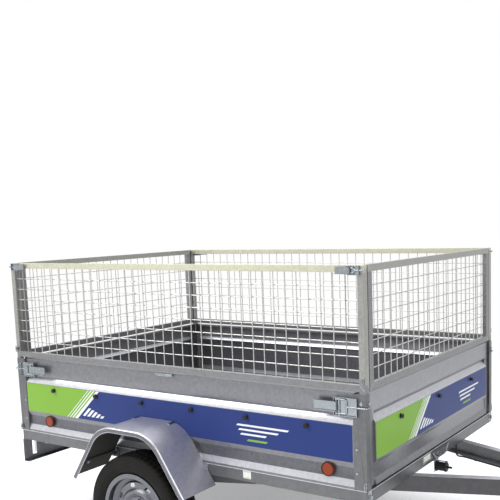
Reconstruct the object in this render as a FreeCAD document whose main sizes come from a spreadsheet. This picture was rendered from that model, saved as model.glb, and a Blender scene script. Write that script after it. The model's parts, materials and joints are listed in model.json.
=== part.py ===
import FreeCAD, Part
import Sketcher
import math
import os

from FreeCAD import Placement, Rotation, Vector

os.makedirs("parts", exist_ok=True)
doc = FreeCAD.newDocument("utility_trailer")
sheet = doc.addObject("Spreadsheet::Sheet", "Sizes")


# A size is a number together with the sheet formula that gives it
class Size:
    def __init__(self, value, text):
        self.value = float(value)
        self.text = text

    def __float__(self):
        return self.value

    def __neg__(self):
        return Size(-self.value, f"(-{self.text})")

    def __add__(self, other):
        return joined(self, other, "+", self.value + float(other))

    def __sub__(self, other):
        return joined(self, other, "-", self.value - float(other))

    def __mul__(self, other):
        return joined(self, other, "*", self.value * float(other))

    def __truediv__(self, other):
        return joined(self, other, "/", self.value / float(other))

    __radd__ = __add__
    __rmul__ = __mul__


def joined(left, right, sign, value):
    right_text = right.text if isinstance(right, Size) else repr(right)
    return Size(value, f"({left.text} {sign} {right_text})")


# Driving sizes in millimetres
driving_sizes = {
    # load body
    "body_length": 2040,
    "body_width": 1410,
    "body_height": 380,
    "sheet_wall": 2,
    "post_side_leg": 57,
    "post_front_leg": 34,
    "post_return": 26,
    # pressed profile of the panels: depths from the outer face, drops from the top edge
    # and heights from the rail
    "band_inset": 10,
    "ledge_inset": 22,
    "decal_inset": 2,
    "skirt_inset": 12,
    "band_drop": 78,
    "ledge_drop": 96,
    "decal_drop": 123,
    "decal_foot": 105,
    "skirt_top": 84,
    "skirt_foot": 36,
    "foot_top": 10,
    "panel_depth": 35,
    "flange_drop": 12,
    "floor_thickness": 12,
    "floor_side_gap": 1,
    "floor_end_gap": 10,
    # underframe
    "rail_height": 52,
    "rail_width": 40,
    "rail_wall": 3,
    "rail_inset": 3,
    "rail_above_axle": 228,
    "crossmember_width": 40,
    "front_mid_member": 480,
    "rear_mid_member": 860,
    "tail_mid_member": 540,
    # drawbar, with its reaches counted back from the ball
    "ball_reach": 890,
    "arm_rail_gap": 12,
    "arm_nose_gap": 8.4,
    "arm_height": 70,
    "arm_width": 40,
    "arm_wall": 4,
    "arm_ball_gap": 240,
    "arm_beam_gap": 12,
    "gusset_length": 150,
    "gusset_thickness": 6,
    "nose_tube_width": 50,
    "nose_tube_wall": 3,
    "nose_tube_length": 310,
    "tube_cup_gap": 25,
    # coupling
    "ball_radius": 25,
    "ball_clearance": 0.3,
    "cup_wall": 10,
    "head_length": 130,
    "head_wall": 6,
    "head_corner": 12,
    "head_nose_corner": 28,
    "head_taper_length": 60,
    "handle_length": 150,
    "handle_rise": 62,
    "handle_sag": 16,
    "handle_width": 34,
    "handle_thickness": 8,
    "handle_pivot_radius": 9,
    "handle_slot_width": 14,
    "handle_slot_length": 62,
    "handle_slot_end": 20,
    # jack
    "jack_ball_gap": 165,
    "jack_tube_radius": 24,
    "jack_inner_radius": 20,
    "jack_clearance": 0.8,
    "jack_collar_wall": 4,
    "jack_collar_height": 16,
    "jack_clamp_wall": 8,
    "jack_clamp_height": 60,
    "jack_clamp_pad": 9,
    "clamp_screw_radius": 6,
    "clamp_screw_length": 34,
    "clamp_bar_radius": 4.5,
    "clamp_bar_length": 74,
    "jack_tube_foot": 330,
    "jack_tube_length": 330,
    "jack_foot_height": 230,
    "jack_inner_length": 325,
    "jack_wheel_radius": 100,
    "jack_wheel_width": 50,
    "jack_rim_radius": 66,
    "jack_rim_web": 16,
    "jack_rim_flange": 8,
    "jack_tyre_corner": 12,
    "jack_wheel_trail": 42,
    "jack_axle_radius": 6,
    "fork_wall": 5,
    "fork_gap": 6,
    "fork_boss_radius": 16,
    "crank_reach": 110,
    "crank_rod_radius": 6,
    "crank_cap_height": 18,
    "crank_rise": 22,
    "crank_bend": 14,
    "grip_radius": 13,
    "grip_length": 85,
    # wheels, with offsets from the tyre's middle plane
    "axle_back": 1082,
    "tyre_radius": 267,
    "tyre_width": 145,
    "tread_half": 54,
    "tread_drop": 3.4,
    "shoulder_radius": 257,
    "widest_radius": 229,
    "bead_radius": 165,
    "bead_half": 52,
    "wheel_offset": 107,
    "rim_lip_radius": 182,
    "rim_width": 127,
    "rim_wall": 3,
    "rim_seat_half": 57,
    "rim_hump_half": 35,
    "rim_well_half": 22,
    "rim_well_radius": 142,
    "disc_offset": 30,
    "disc_pad_radius": 68,
    "disc_crown_rise": 12,
    "disc_crown_inner": 84,
    "disc_crown_outer": 98,
    "disc_face_rise": 2,
    "disc_face_inner": 108,
    "disc_face_outer": 135,
    "vent_ring_radius": 123,
    "vent_radius": 9,
    "vent_reach": 6,
    "bolt_ring_radius": 50,
    "bolt_radius": 6,
    "bolt_head_radius": 10,
    "bolt_head_height": 9,
    "hub_radius": 38,
    "hub_flange_radius": 65,
    "hub_flange_thickness": 10,
    "hub_gap": 5,
    "hub_cap_radius": 28,
    "hub_cap_length": 28,
    "hub_cap_corner": 8,
    "stub_radius": 15,
    "shaft_clearance": 0.3,
    # axle
    "beam_size": 60,
    "beam_wall": 4,
    "beam_lead": 105,
    "beam_end_inset": 24,
    "swing_thickness": 15,
    "swing_gap": 1,
    "swing_head_radius": 36,
    "swing_foot_radius": 28,
    # mudguards
    "guard_width": 214,
    "guard_wall": 2,
    "guard_top": 166,
    "guard_foot_drop": 92,
    "guard_foot_half": 334,
    "guard_corner_half": 160,
    "guard_corner_radius": 170,
    "guard_lip": 20,
    "guard_bend": 6,
    "guard_stay_width": 25,
    "guard_stay_thickness": 5,
    "guard_stay_reach": 180,
    # gates
    "gate_end_gap": 5,
    "gate_stile": 40,
    "gate_lug_height": 40,
    "gate_floor_gap": 7,
    "gate_pin_height": 20,
    "gate_pin_depth": 8,
    "gate_pin_radius": 4,
    "pin_clearance": 0.5,
    "pin_head_radius": 8,
    "pin_head_length": 6,
    "pin_root": 12,
    # mesh
    "mesh_lift": 8,
    "mesh_height": 482,
    "mesh_bar": 27,
    "mesh_bar_depth": 20,
    "mesh_post_width": 25,
    "mesh_gate_post_width": 34,
    "mesh_stake": 60,
    "mesh_pitch": 55,
    "mesh_end_gap": 5,
    "mesh_pin_rise": 42,
    "mesh_pin_radius": 4,
    "wire_radius": 2.2,
    "wire_layer_gap": 0.3,
    # lashing buttons and reflectors
    "button_radius": 11,
    "button_neck_radius": 6.5,
    "button_height": 13,
    "button_foot": 3,
    "button_head": 5,
    "button_drop": 149,
    "button_pitch": 300,
    "gate_button_pitch": 402,
    "reflector_radius": 28.5,
    "reflector_rim": 5,
    "reflector_dome": 3,
    "reflector_foot_radius": 14,
    "reflector_foot": 6,
    "reflector_level": 66,
    "reflector_end_gap": 176,
    "rear_reflector_end_gap": 219,
    # toggle latches on the body's corners and on the mesh
    "latch_wall": 2.5,
    "latch_depth": 10,
    "latch_pin_radius": 3.5,
    "latch_pin_pitch": 14,
    "latch_rod_radius": 4,
    "latch_rod_gap": 0.5,
    "latch_bend": 5,
    "latch_loop_bend": 8,
    "latch_hook_length": 22,
    "latch_flange": 7,
    "body_latch_drop": 53,
    "body_latch_corner_gap": 34,
    "body_latch_tray": 103,
    "body_latch_height": 74,
    "body_latch_lever": 100,
    "body_latch_lever_height": 40,
    "mesh_latch_drop": 19,
    "mesh_latch_corner_gap": 12,
    "mesh_latch_tray": 52,
    "mesh_latch_height": 36,
    "mesh_latch_lever": 62,
    "mesh_latch_lever_height": 28,
    "mesh_latch_hook_length": 16,
    # rear light bar and lamps
    "bar_height": 119,
    "bar_flange": 34,
    "bar_wall": 2,
    "bar_window_length": 26,
    "bar_window_height": 74,
    "bar_window_inset": 54,
    "lamp_length": 190,
    "lamp_height": 92,
    "lamp_depth": 42,
    "lamp_base": 12,
    "lamp_corner": 10,
    "lamp_taper": 4,
    "lamp_inset": 96,
    # front fittings
    "brace_top_half": 96,
    "brace_foot_half": 46,
    "brace_thickness": 4,
    "brace_top_drop": 10,
    "socket_side": 47,
    "socket_radius": 20,
    "socket_flange_radius": 24,
    "socket_flange_length": 4,
    "socket_lid_radius": 22,
    "socket_lid_length": 9,
    "socket_length": 52,
    "socket_drop": 30,
    "socket_lever_radius": 5,
    "socket_lever_length": 22,
    "bracket_thickness": 3,
    "bracket_width": 48,
    "tag_width": 84,
    "tag_height": 36,
    "tag_thickness": 1.5,
    "tag_side": 147,
    "tag_drop": 1,
    # wiring lead under the left arm
    "lead_radius": 4,
    "lead_grommet_radius": 9,
    "lead_grommet_height": 6,
    "lead_member_inset": 20,
    "lead_arm_gap": 18,
    "lead_edge_inset": 8,
    "lead_clip_wall": 1.5,
    "lead_clip_length": 10,
    "lead_clip_pitch": 140,
    "lead_tube_depth": 80,
    # how far a cutting tool runs past what it cuts, and how near two points count as one
    "overrun": 1,
    "same_spot": 0.01,
}


class Names:
    pass


s = Names()
for row, (alias, value) in enumerate(driving_sizes.items(), start=1):
    sheet.set(f"A{row}", alias)
    sheet.set(f"B{row}", str(value))
    sheet.setAlias(f"B{row}", alias)
    setattr(s, alias, Size(value, f"Sizes.{alias}"))
doc.recompute()


# The frame: x forward, y to the left, z up, with the ground at zero and the box centre over it
zero = Size(0, "0")
nose_reach = s.ball_reach + s.ball_radius + s.cup_wall
tail_reach = s.bar_wall + s.lamp_depth
front = (s.body_length + tail_reach - nose_reach) / 2
rear = front - s.body_length
half_width = s.body_width / 2
axle_x = front - s.axle_back
rail_top = s.tyre_radius + s.rail_above_axle
rail_foot = rail_top - s.rail_height
body_top = rail_top + s.body_height
arm_foot = rail_foot - s.arm_height
mesh_foot = body_top + s.mesh_lift
mesh_top = mesh_foot + s.mesh_height
ball_x = front + s.ball_reach
arm_reach = s.ball_reach - s.arm_ball_gap
tube_reach = s.ball_reach - s.ball_radius - s.cup_wall - s.tube_cup_gap
tube_tail = tube_reach - s.nose_tube_length

nodes = {}


def bind(item, path, size):
    if isinstance(size, Size):
        item.setExpression(path, size.text)


def place(item, x, y, z, rotation=None):
    item.Placement = Placement(Vector(float(x), float(y), float(z)), rotation or Rotation())
    bind(item, ".Placement.Base.x", x)
    bind(item, ".Placement.Base.y", y)
    bind(item, ".Placement.Base.z", z)
    return item


def box(name, x, y, z, length, width, height):
    item = doc.addObject("Part::Box", name)
    for path, size in (("Length", length), ("Width", width), ("Height", height)):
        setattr(item, path, float(size))
        bind(item, path, size)
    return place(item, x, y, z)


turns = {
    "x": Rotation(Vector(0, 1, 0), 90),
    "y": Rotation(Vector(1, 0, 0), -90),
    "z": Rotation(),
}


def rod(name, axis, x, y, z, radius, length):
    item = doc.addObject("Part::Cylinder", name)
    item.Radius = float(radius)
    item.Height = float(length)
    bind(item, "Radius", radius)
    bind(item, "Height", length)
    return place(item, x, y, z, turns[axis])


def ball(name, x, y, z, radius):
    item = doc.addObject("Part::Sphere", name)
    item.Radius = float(radius)
    bind(item, "Radius", radius)
    return place(item, x, y, z)


def fused(name, *items):
    item = doc.addObject("Part::MultiFuse", name)
    item.Shapes = list(items)
    return item


def cut(name, base, *tools):
    item = doc.addObject("Part::Cut", name)
    item.Base = base
    item.Tool = tools[0] if len(tools) == 1 else fused(name + "_tools", *tools)
    return item


def mirrored(name, source):
    item = doc.addObject("Part::Mirroring", name)
    item.Source = source
    item.Normal = Vector(0, 1, 0)
    return item


def gathered(name, *items):
    item = doc.addObject("Part::Compound", name)
    item.Links = list(items)
    return item


def feature(name, shape):
    item = doc.addObject("Part::Feature", name)
    item.Shape = shape
    return item


def node(name, item):
    item.Label = name
    nodes[name] = item
    return item


def pair(name, *right):
    left = [mirrored(item.Name + "_left", item) for item in right]
    return node(name, gathered(name, *right, *left))


# A body made by padding a closed outline whose corners are all bound to the sheet
planes = {"x": "YZ_Plane", "y": "XZ_Plane", "z": "XY_Plane"}


def padded(name, axis, outline, length, x=zero, y=zero, z=zero):
    body = doc.addObject("PartDesign::Body", name)
    sketch = body.newObject("Sketcher::SketchObject", name + "_outline")
    plane = [item for item in body.Origin.OriginFeatures if item.Role == planes[axis]][0]
    sketch.AttachmentSupport = (plane, "")
    sketch.MapMode = "FlatFace"
    corners = [Vector(float(across), float(up), 0) for across, up in outline]
    count = len(corners)
    for index in range(count):
        line = Part.LineSegment(corners[index], corners[(index + 1) % count])
        sketch.addGeometry(line, False)
    for index in range(count):
        sketch.addConstraint(Sketcher.Constraint("Coincident", index, 2, (index + 1) % count, 1))
    for index, corner in enumerate(outline):
        for kind, size in zip(("DistanceX", "DistanceY"), corner):
            place_in = sketch.addConstraint(Sketcher.Constraint(kind, -1, 1, index, 1, float(size)))
            bind(sketch, f"Constraints[{place_in}]", size)
    pad = body.newObject("PartDesign::Pad", name + "_pad")
    pad.Profile = sketch
    pad.Length = float(length)
    bind(pad, "Length", length)
    pad.Reversed = axis == "y"
    sketch.Visibility = False
    return place(body, x, y, z)


# Curves that the sketches and primitives don't give
def lines(points):
    return [Part.LineSegment(a, b).toShape() for a, b in zip(points, points[1:])]


def arc(a, b, c):
    return Part.Arc(a, b, c).toShape()


def plate(corners, along):
    return Part.Face(Part.makePolygon(corners + corners[:1])).extrude(along)


# A round section turned about an axis: each point is a distance along it and a radius
def turned(points, start, along):
    across = Vector(0, 0, 1) if abs(along.z) < abs(along.x) + abs(along.y) else Vector(1, 0, 0)
    spots = [start + along * distance + across * radius for distance, radius in points]
    return Part.Face(Part.Wire(lines(spots + spots[:1]))).revolve(start, along, 360)


# The share of the shorter run that each side of a soft bend takes
run_share = 0.45


# A round rod along straight runs that arcs join
def bent_rod(points, radius, bend=None):
    edges = []
    start = points[0]
    for before, corner, after in zip(points, points[1:], points[2:]):
        back = before - corner
        ahead = after - corner
        half_angle = back.getAngle(ahead) / 2
        shorter = min(back.Length, ahead.Length)
        curve = bend or shorter * run_share * math.tan(half_angle)
        back.normalize()
        ahead.normalize()
        reach = curve / math.tan(half_angle)
        middle = corner + (back + ahead).normalize() * (curve / math.sin(half_angle) - curve)
        edges += lines([start, corner + back * reach])
        edges.append(arc(corner + back * reach, middle, corner + ahead * reach))
        start = corner + ahead * reach
    edges += lines([start, points[-1]])
    end = Part.Wire(Part.makeCircle(radius, points[0], points[1] - points[0]))
    return Part.Wire(edges).makePipeShell([end], True, True)


# The pressed profile of a panel: depth from the outer face, height above the rail
def panel_face(foot):
    top = s.body_height
    return [
        (s.band_inset, top),
        (s.band_inset, top - s.band_drop),
        (s.ledge_inset, top - s.ledge_drop),
        (s.decal_inset, top - s.decal_drop),
        (s.decal_inset, s.decal_foot),
        (s.skirt_inset, s.skirt_top),
        (s.skirt_inset, s.skirt_foot),
        (s.decal_inset, s.foot_top),
        (s.decal_inset, foot),
    ]


def panel_profile(foot, outward):
    deep, wall = s.panel_depth, s.sheet_wall
    top = s.body_height
    lip = top - s.flange_drop
    face = panel_face(foot)
    outer = [(deep, lip), (deep, top)] + face + [(deep, foot)]
    inner = [(deep, foot + wall), (s.decal_inset + wall, foot + wall)]
    inner += [(depth + wall, height) for depth, height in reversed(face[1:-1])]
    inner += [(s.band_inset + wall, top - wall), (deep - wall, top - wall), (deep - wall, lip)]
    return [(depth * -outward, height) for depth, height in outer + inner]


# The plate that closes the end of a pressed panel
def panel_end(foot, outward):
    corners = [(s.panel_depth, s.body_height)] + panel_face(foot) + [(s.panel_depth, foot)]
    return [(depth * -outward, height) for depth, height in corners]


def make_side_panels():
    length = s.body_length - s.post_side_leg * 2
    pair("side_panels", padded("right_panel", "x", panel_profile(zero, -1), length,
                               x=rear + s.post_side_leg, y=-half_width, z=rail_top))


# A corner post is a folded angle: side leg with a return, and a shorter front leg
def post_outline(forward):
    wall = s.sheet_wall
    points = [
        (zero, zero),
        (zero, s.post_front_leg),
        (wall, s.post_front_leg),
        (wall, wall),
        (s.post_side_leg - wall, wall),
        (s.post_side_leg - wall, s.post_return),
        (s.post_side_leg, s.post_return),
        (s.post_side_leg, zero),
    ]
    return [(back * -forward, inward) for back, inward in points]


def make_corner_posts():
    posts = []
    for end, forward, x in (("front", 1, front), ("rear", -1, rear)):
        post = padded(f"{end}_post_fold", "z", post_outline(forward), s.body_height,
                      x=x, y=-half_width, z=rail_top)
        hole = rod(f"{end}_post_hole", "y", x - s.gate_pin_depth * forward,
                   -half_width - s.overrun, pin_z, s.gate_pin_radius + s.pin_clearance,
                   s.sheet_wall + s.overrun * 2)
        posts.append(cut(f"{end}_post", post, hole))
    pair("corner_posts", *posts)


def make_floor():
    inset = s.panel_depth + s.floor_side_gap
    end = s.panel_depth + s.floor_end_gap
    node("floor_panel", box("floor_panel", rear + end, inset - half_width, rail_top,
                            s.body_length - end * 2, s.body_width - inset * 2, s.floor_thickness))


def make_rails():
    outer = box("rail_outer", rear, s.rail_inset - half_width, rail_foot,
                s.body_length, s.rail_width, s.rail_height)
    inner = box("rail_inner", rear - s.overrun, s.rail_inset + s.rail_wall - half_width,
                rail_foot + s.rail_wall, s.body_length + s.overrun * 2,
                s.rail_width - s.rail_wall * 2, s.rail_height - s.rail_wall * 2)
    pair("side_rails", cut("right_rail", outer, inner))


# A cross-member is a channel between the rails, its web at the front or rear
def channel_outline(forward):
    wide, tall, wall = s.crossmember_width, s.rail_height, s.rail_wall
    points = [(zero, zero), (wide, zero), (wide, wall), (wall, wall),
              (wall, tall - wall), (wide, tall - wall), (wide, tall), (zero, tall)]
    return [(back * -forward, up) for back, up in points]


def make_cross_members():
    inset = s.rail_inset + s.rail_width
    members = []
    for name, forward, x in (
        ("front_member", 1, front),
        ("front_mid_member", 1, front - s.front_mid_member),
        ("rear_mid_member", 1, front - s.rear_mid_member),
        ("tail_mid_member", -1, rear + s.tail_mid_member),
        ("rear_member", -1, rear),
    ):
        members.append(padded(name, "y", channel_outline(forward), s.body_width - inset * 2,
                              x=x, y=inset - half_width, z=rail_foot))
    node("cross_members", gathered("cross_members", *members))


# The drawbar arms are channels open on the inside: from beside the rails, just ahead of the
# axle beam, they close in until they flank the nose tube
arm_tail = s.axle_back - s.beam_lead - s.beam_size / 2 - s.arm_beam_gap
arm_tail_half = half_width - s.rail_inset - s.rail_width - s.arm_rail_gap
arm_nose_half = s.nose_tube_width / 2 + s.arm_width + s.arm_nose_gap
arm_slope = float(arm_tail_half - arm_nose_half) / float(arm_tail + arm_reach)
arm_turn = math.atan(arm_slope)


def arm_line(reach):
    return float(arm_nose_half) + float(arm_reach - reach) * arm_slope


def make_drawbar_arms():
    wide, tall, wall = float(s.arm_width), float(s.arm_height), float(s.arm_wall)
    over = float(s.overrun)
    length = float(arm_tail + arm_reach) / math.cos(arm_turn)
    shape = Part.makeBox(length, wide, tall).cut(
        Part.makeBox(length + over * 2, wide, tall - wall * 2, Vector(-over, wall, wall)))
    start = Vector(float(front - arm_tail), -float(arm_tail_half), float(arm_foot))
    shape.Placement = Placement(start, Rotation(Vector(0, 0, 1), math.degrees(arm_turn)))
    behind = Part.makeBox(wide, wide / math.cos(arm_turn), tall, start - Vector(wide, 0, 0))
    pair("drawbar_arms", feature("right_arm", shape.cut(behind)))


# Plates tie the arm ends to the nose tube, and one braces the front member
def make_drawbar_plates():
    plates = []
    start = arm_reach - s.gusset_length
    for name, z in (("upper_gusset", rail_foot), ("lower_gusset", arm_foot - s.gusset_thickness)):
        corners = []
        for reach, side in ((start, -1), (arm_reach, -1), (arm_reach, 1), (start, 1)):
            corners.append(Vector(float(front + reach), arm_line(reach) * side, float(z)))
        plates.append(feature(name, plate(corners, Vector(0, 0, float(s.gusset_thickness)))))
    top = s.rail_height - s.brace_top_drop
    outline = [(-s.brace_foot_half, zero), (s.brace_foot_half, zero),
               (s.brace_top_half, top), (-s.brace_top_half, top)]
    plates.append(padded("member_brace", "x", outline, s.brace_thickness, x=front, z=rail_foot))
    node("drawbar_plates", gathered("drawbar_plates", *plates))


def make_nose_tube():
    wide, wall = s.nose_tube_width, s.nose_tube_wall
    outer = box("nose_outer", front + tube_tail, -wide / 2, arm_foot,
                s.nose_tube_length, wide, s.arm_height)
    inner = box("nose_inner", front + tube_tail - s.overrun, wall - wide / 2,
                arm_foot + wall, s.nose_tube_length + s.overrun * 2,
                wide - wall * 2, s.arm_height - wall * 2)
    node("nose_tube", cut("nose_tube", outer, inner))


# A section across the coupling head: upright sides and rounded shoulders
def head_arch(x, half, corner):
    foot = float(arm_foot)
    top = float(arm_foot + s.arm_height + s.head_wall)
    side = top - corner
    across = half - corner
    bend = corner * math.sqrt(1 / 2)
    right = [Vector(x, -half, foot), Vector(x, -half, side),
             Vector(x, -across - bend, side + bend), Vector(x, -across, top)]
    left = [Vector(x, -spot.y, spot.z) for spot in reversed(right)]
    edges = lines(right[:2]) + [arc(*right[1:])] + lines([right[3], left[0]])
    edges += [arc(*left[:3])] + lines([left[2], left[3], right[0]])
    return Part.Wire(edges)


# The head is a pressed housing over the tube, which swells to a round nose over the ball
def make_coupling_head():
    half = float(s.nose_tube_width) / 2 + float(s.head_wall)
    nose_half = float(s.ball_radius + s.cup_wall)
    start = float(ball_x - s.head_length)
    middle = float(ball_x)
    waist = middle - float(s.head_taper_length)
    housing = Part.Face(head_arch(start, half, float(s.head_corner)))
    housing = housing.extrude(Vector(waist - start, 0, 0))
    taper = Part.makeLoft([head_arch(waist, half, float(s.head_corner)),
                           head_arch(middle, nose_half, float(s.head_nose_corner))], True, True)
    nose_face = Part.Face(head_arch(middle, nose_half, float(s.head_nose_corner)))
    tall = float(s.arm_height + s.head_wall)
    right_half = Part.makeBox(nose_half, nose_half, tall,
                              Vector(middle - nose_half / 2, -nose_half, float(arm_foot)))
    nose = nose_face.common(right_half).revolve(Vector(middle, 0, 0), Vector(0, 0, 1), 180)
    solid = feature("head_solid", housing.fuse([taper, nose]).removeSplitter())
    ball_z = arm_foot + s.arm_height / 2
    tube_space = box("head_tube_space", ball_x - s.head_length - s.overrun,
                     -s.nose_tube_width / 2, arm_foot - s.overrun,
                     front + tube_reach - ball_x + s.head_length + s.overrun,
                     s.nose_tube_width, s.arm_height + s.overrun)
    cup_radius = s.ball_radius + s.ball_clearance
    cup = ball("ball_cup", ball_x, zero, ball_z, cup_radius)
    mouth = rod("cup_mouth", "z", ball_x, zero, arm_foot - s.overrun, cup_radius,
                s.arm_height / 2 + s.overrun)
    node("coupling_head", cut("coupling_head", solid, tube_space, cup, mouth))


# A curved pressed handle, hinged on top of the head, with a finger slot near its end
def make_coupling_handle():
    thick = float(s.handle_thickness)
    wide = float(s.handle_width)
    lift = float(s.handle_pivot_radius)
    near = Vector(0, -wide / 2, lift - thick / 2)
    far = Vector(-float(s.handle_length), -wide / 2, float(s.handle_rise))
    middle = (near + far) / 2 - Vector(0, 0, float(s.handle_sag))
    up = Vector(0, 0, thick)
    edges = [arc(near, middle, far)] + lines([far, far + up])
    edges += [arc(far + up, middle + up, near + up)] + lines([near + up, near])
    strap = Part.Face(Part.Wire(edges)).extrude(Vector(0, wide, 0))
    pivot = Part.makeCylinder(lift, wide, Vector(0, -wide / 2, lift), Vector(0, 1, 0))
    slot_radius = float(s.handle_slot_width) / 2
    slot_far = -float(s.handle_length - s.handle_slot_end) + slot_radius
    slot_near = slot_far + float(s.handle_slot_length) - slot_radius * 2
    tall = float(s.handle_rise) + thick * 2
    slot = Part.makeBox(slot_near - slot_far, slot_radius * 2, tall,
                        Vector(slot_far, -slot_radius, 0))
    slot = slot.fuse([Part.makeCylinder(slot_radius, tall, Vector(x, 0, 0))
                      for x in (slot_far, slot_near)])
    shape = strap.fuse(pivot).cut(slot)
    shape.Placement = Placement(
        Vector(float(ball_x - s.ball_radius), 0, float(arm_foot + s.arm_height + s.head_wall)),
        Rotation())
    node("coupling_handle", feature("coupling_handle", shape))


# The jack stands beside the nose tube, held in a ring clamp
jack_x = ball_x - s.jack_ball_gap
jack_y = -(s.nose_tube_width / 2 + s.jack_clamp_pad + s.jack_tube_radius)
clamp_middle = arm_foot + s.arm_height / 2


def make_jack_clamp():
    z = clamp_middle - s.jack_clamp_height / 2
    outer = s.jack_tube_radius + s.jack_clamp_wall
    ring = rod("clamp_ring", "z", jack_x, jack_y, z, outer, s.jack_clamp_height)
    depth = s.jack_clamp_pad + s.jack_clamp_wall
    pad = box("clamp_pad", jack_x - s.jack_tube_radius, -s.nose_tube_width / 2 - depth, z,
              s.jack_tube_radius * 2, depth, s.jack_clamp_height)
    screw_end = jack_y - outer - s.clamp_screw_length
    screw = rod("clamp_screw", "y", jack_x, screw_end, clamp_middle, s.clamp_screw_radius,
                s.clamp_screw_length + s.jack_clamp_wall)
    bar = rod("clamp_bar", "z", jack_x, screw_end, clamp_middle - s.clamp_bar_length / 2,
              s.clamp_bar_radius, s.clamp_bar_length)
    bore = rod("clamp_bore", "z", jack_x, jack_y, z - s.overrun,
               s.jack_tube_radius + s.shaft_clearance, s.jack_clamp_height + s.overrun * 2)
    node("jack_clamp", cut("jack_clamp", fused("clamp_solid", ring, pad, screw, bar), bore))


def make_jack_tube():
    outer = rod("jack_tube_outer", "z", jack_x, jack_y, s.jack_tube_foot,
                s.jack_tube_radius, s.jack_tube_length)
    top = s.jack_tube_foot + s.jack_tube_length
    collar = rod("jack_top_collar", "z", jack_x, jack_y, top - s.jack_collar_height,
                 s.jack_tube_radius + s.jack_collar_wall, s.jack_collar_height)
    inner = rod("jack_tube_bore", "z", jack_x, jack_y, s.jack_tube_foot - s.overrun,
                s.jack_inner_radius + s.jack_clearance, s.jack_tube_length + s.overrun * 2)
    node("jack_outer_tube", cut("jack_outer_tube", fused("jack_tube_solid", outer, collar), inner))


# The crank is one bent rod that turns the cap, with a round grip on its end
def make_jack_crank():
    top = s.jack_tube_foot + s.jack_tube_length
    cap = rod("crank_cap", "z", jack_x, jack_y, top, s.jack_tube_radius, s.crank_cap_height)
    bend_z = float(top + s.crank_cap_height + s.crank_rise)
    middle = Vector(float(jack_x), float(jack_y), bend_z)
    end = middle - Vector(float(s.crank_reach), 0, 0)
    start = Vector(middle.x, middle.y, float(top + s.crank_cap_height / 2))
    grip_top = end + Vector(0, 0, float(s.grip_length + s.crank_bend))
    bar = feature("crank_bar", bent_rod([start, middle, end, grip_top], float(s.crank_rod_radius),
                                        float(s.crank_bend)))
    grip = rod("crank_grip", "z", jack_x - s.crank_reach, jack_y,
               top + s.crank_cap_height + s.crank_rise + s.crank_bend, s.grip_radius,
               s.grip_length)
    node("jack_crank", fused("jack_crank", cap, bar, grip))


def make_jack_inner():
    node("jack_inner_tube", rod("jack_inner_tube", "z", jack_x, jack_y,
                                s.jack_foot_height + s.jack_clearance, s.jack_inner_radius,
                                s.jack_inner_length))


# A flat link with round ends, between two places in the x-z plane
def link_plate(start, start_radius, end, end_radius, y, thickness):
    first = Vector(float(start[0]), float(y), float(start[1]))
    last = Vector(float(end[0]), float(y), float(end[1]))
    along = Vector(0, float(thickness), 0)
    across = (last - first).cross(Vector(0, 1, 0)).normalize()
    first_radius, last_radius = float(start_radius), float(end_radius)
    lean = (first_radius - last_radius) / (last - first).Length
    side = math.sqrt(1 - lean * lean)
    forward = (last - first).normalize()
    corners = []
    for centre, radius, sign in ((first, first_radius, 1), (last, last_radius, 1),
                                 (last, last_radius, -1), (first, first_radius, -1)):
        corners.append(centre + across * (sign * radius * side) + forward * (radius * lean))
    ends = [Part.makeCylinder(first_radius, float(thickness), first, Vector(0, 1, 0)),
            Part.makeCylinder(last_radius, float(thickness), last, Vector(0, 1, 0))]
    return plate(corners, along).fuse(ends).removeSplitter()


wheel_x = jack_x - s.jack_wheel_trail
fork_half = s.jack_wheel_width / 2 + s.fork_gap


def make_jack_fork():
    top = s.jack_foot_height - s.fork_wall
    legs = []
    for name, y in (("fork_leg_right", jack_y - fork_half - s.fork_wall),
                    ("fork_leg_left", jack_y + fork_half)):
        shape = link_plate((jack_x, top - s.jack_inner_radius + s.fork_wall), s.jack_inner_radius,
                           (wheel_x, s.jack_wheel_radius), s.fork_boss_radius, y, s.fork_wall)
        legs.append(feature(name, shape))
    bridge = box("fork_bridge", jack_x - s.jack_inner_radius, jack_y - fork_half - s.fork_wall,
                 top, s.jack_inner_radius * 2, (fork_half + s.fork_wall) * 2, s.fork_wall)
    axle = rod("fork_axle", "y", wheel_x, jack_y - fork_half - s.fork_wall * 2,
               s.jack_wheel_radius, s.jack_axle_radius, (fork_half + s.fork_wall * 2) * 2)
    node("jack_fork", fused("jack_fork", bridge, axle, *legs))


# The jockey wheel: a dished steel centre with a solid rubber tyre
def make_jack_wheel():
    half = float(s.jack_wheel_width) / 2
    middle = Vector(float(wheel_x), float(jack_y), float(s.jack_wheel_radius))
    along = Vector(0, 1, 0)
    bore = float(s.jack_axle_radius + s.shaft_clearance)
    boss_half = half + float(s.fork_gap) / 2
    boss, web = float(s.fork_boss_radius), float(s.jack_rim_web) / 2
    rim, flange = float(s.jack_rim_radius), float(s.jack_rim_flange)
    rim_half = half - float(s.fork_wall)
    section = [(boss_half, bore), (boss_half, boss), (web, boss), (web, rim - flange),
               (rim_half, rim - flange / 2), (rim_half, rim)]
    section += [(-distance, radius) for distance, radius in reversed(section)]
    node("jack_wheel_rim", feature("jack_wheel_rim", turned(section, middle, along)))
    outer, corner = float(s.jack_wheel_radius), float(s.jack_tyre_corner)
    bend = corner * (1 - math.sqrt(1 / 2))
    section = [(half, rim), (half, outer - corner), (half - bend, outer - bend),
               (half - corner, outer)]
    section += [(-distance, radius) for distance, radius in reversed(section)]
    node("jack_wheel_tyre", feature("jack_wheel_tyre", turned(section, middle, along)))


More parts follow.
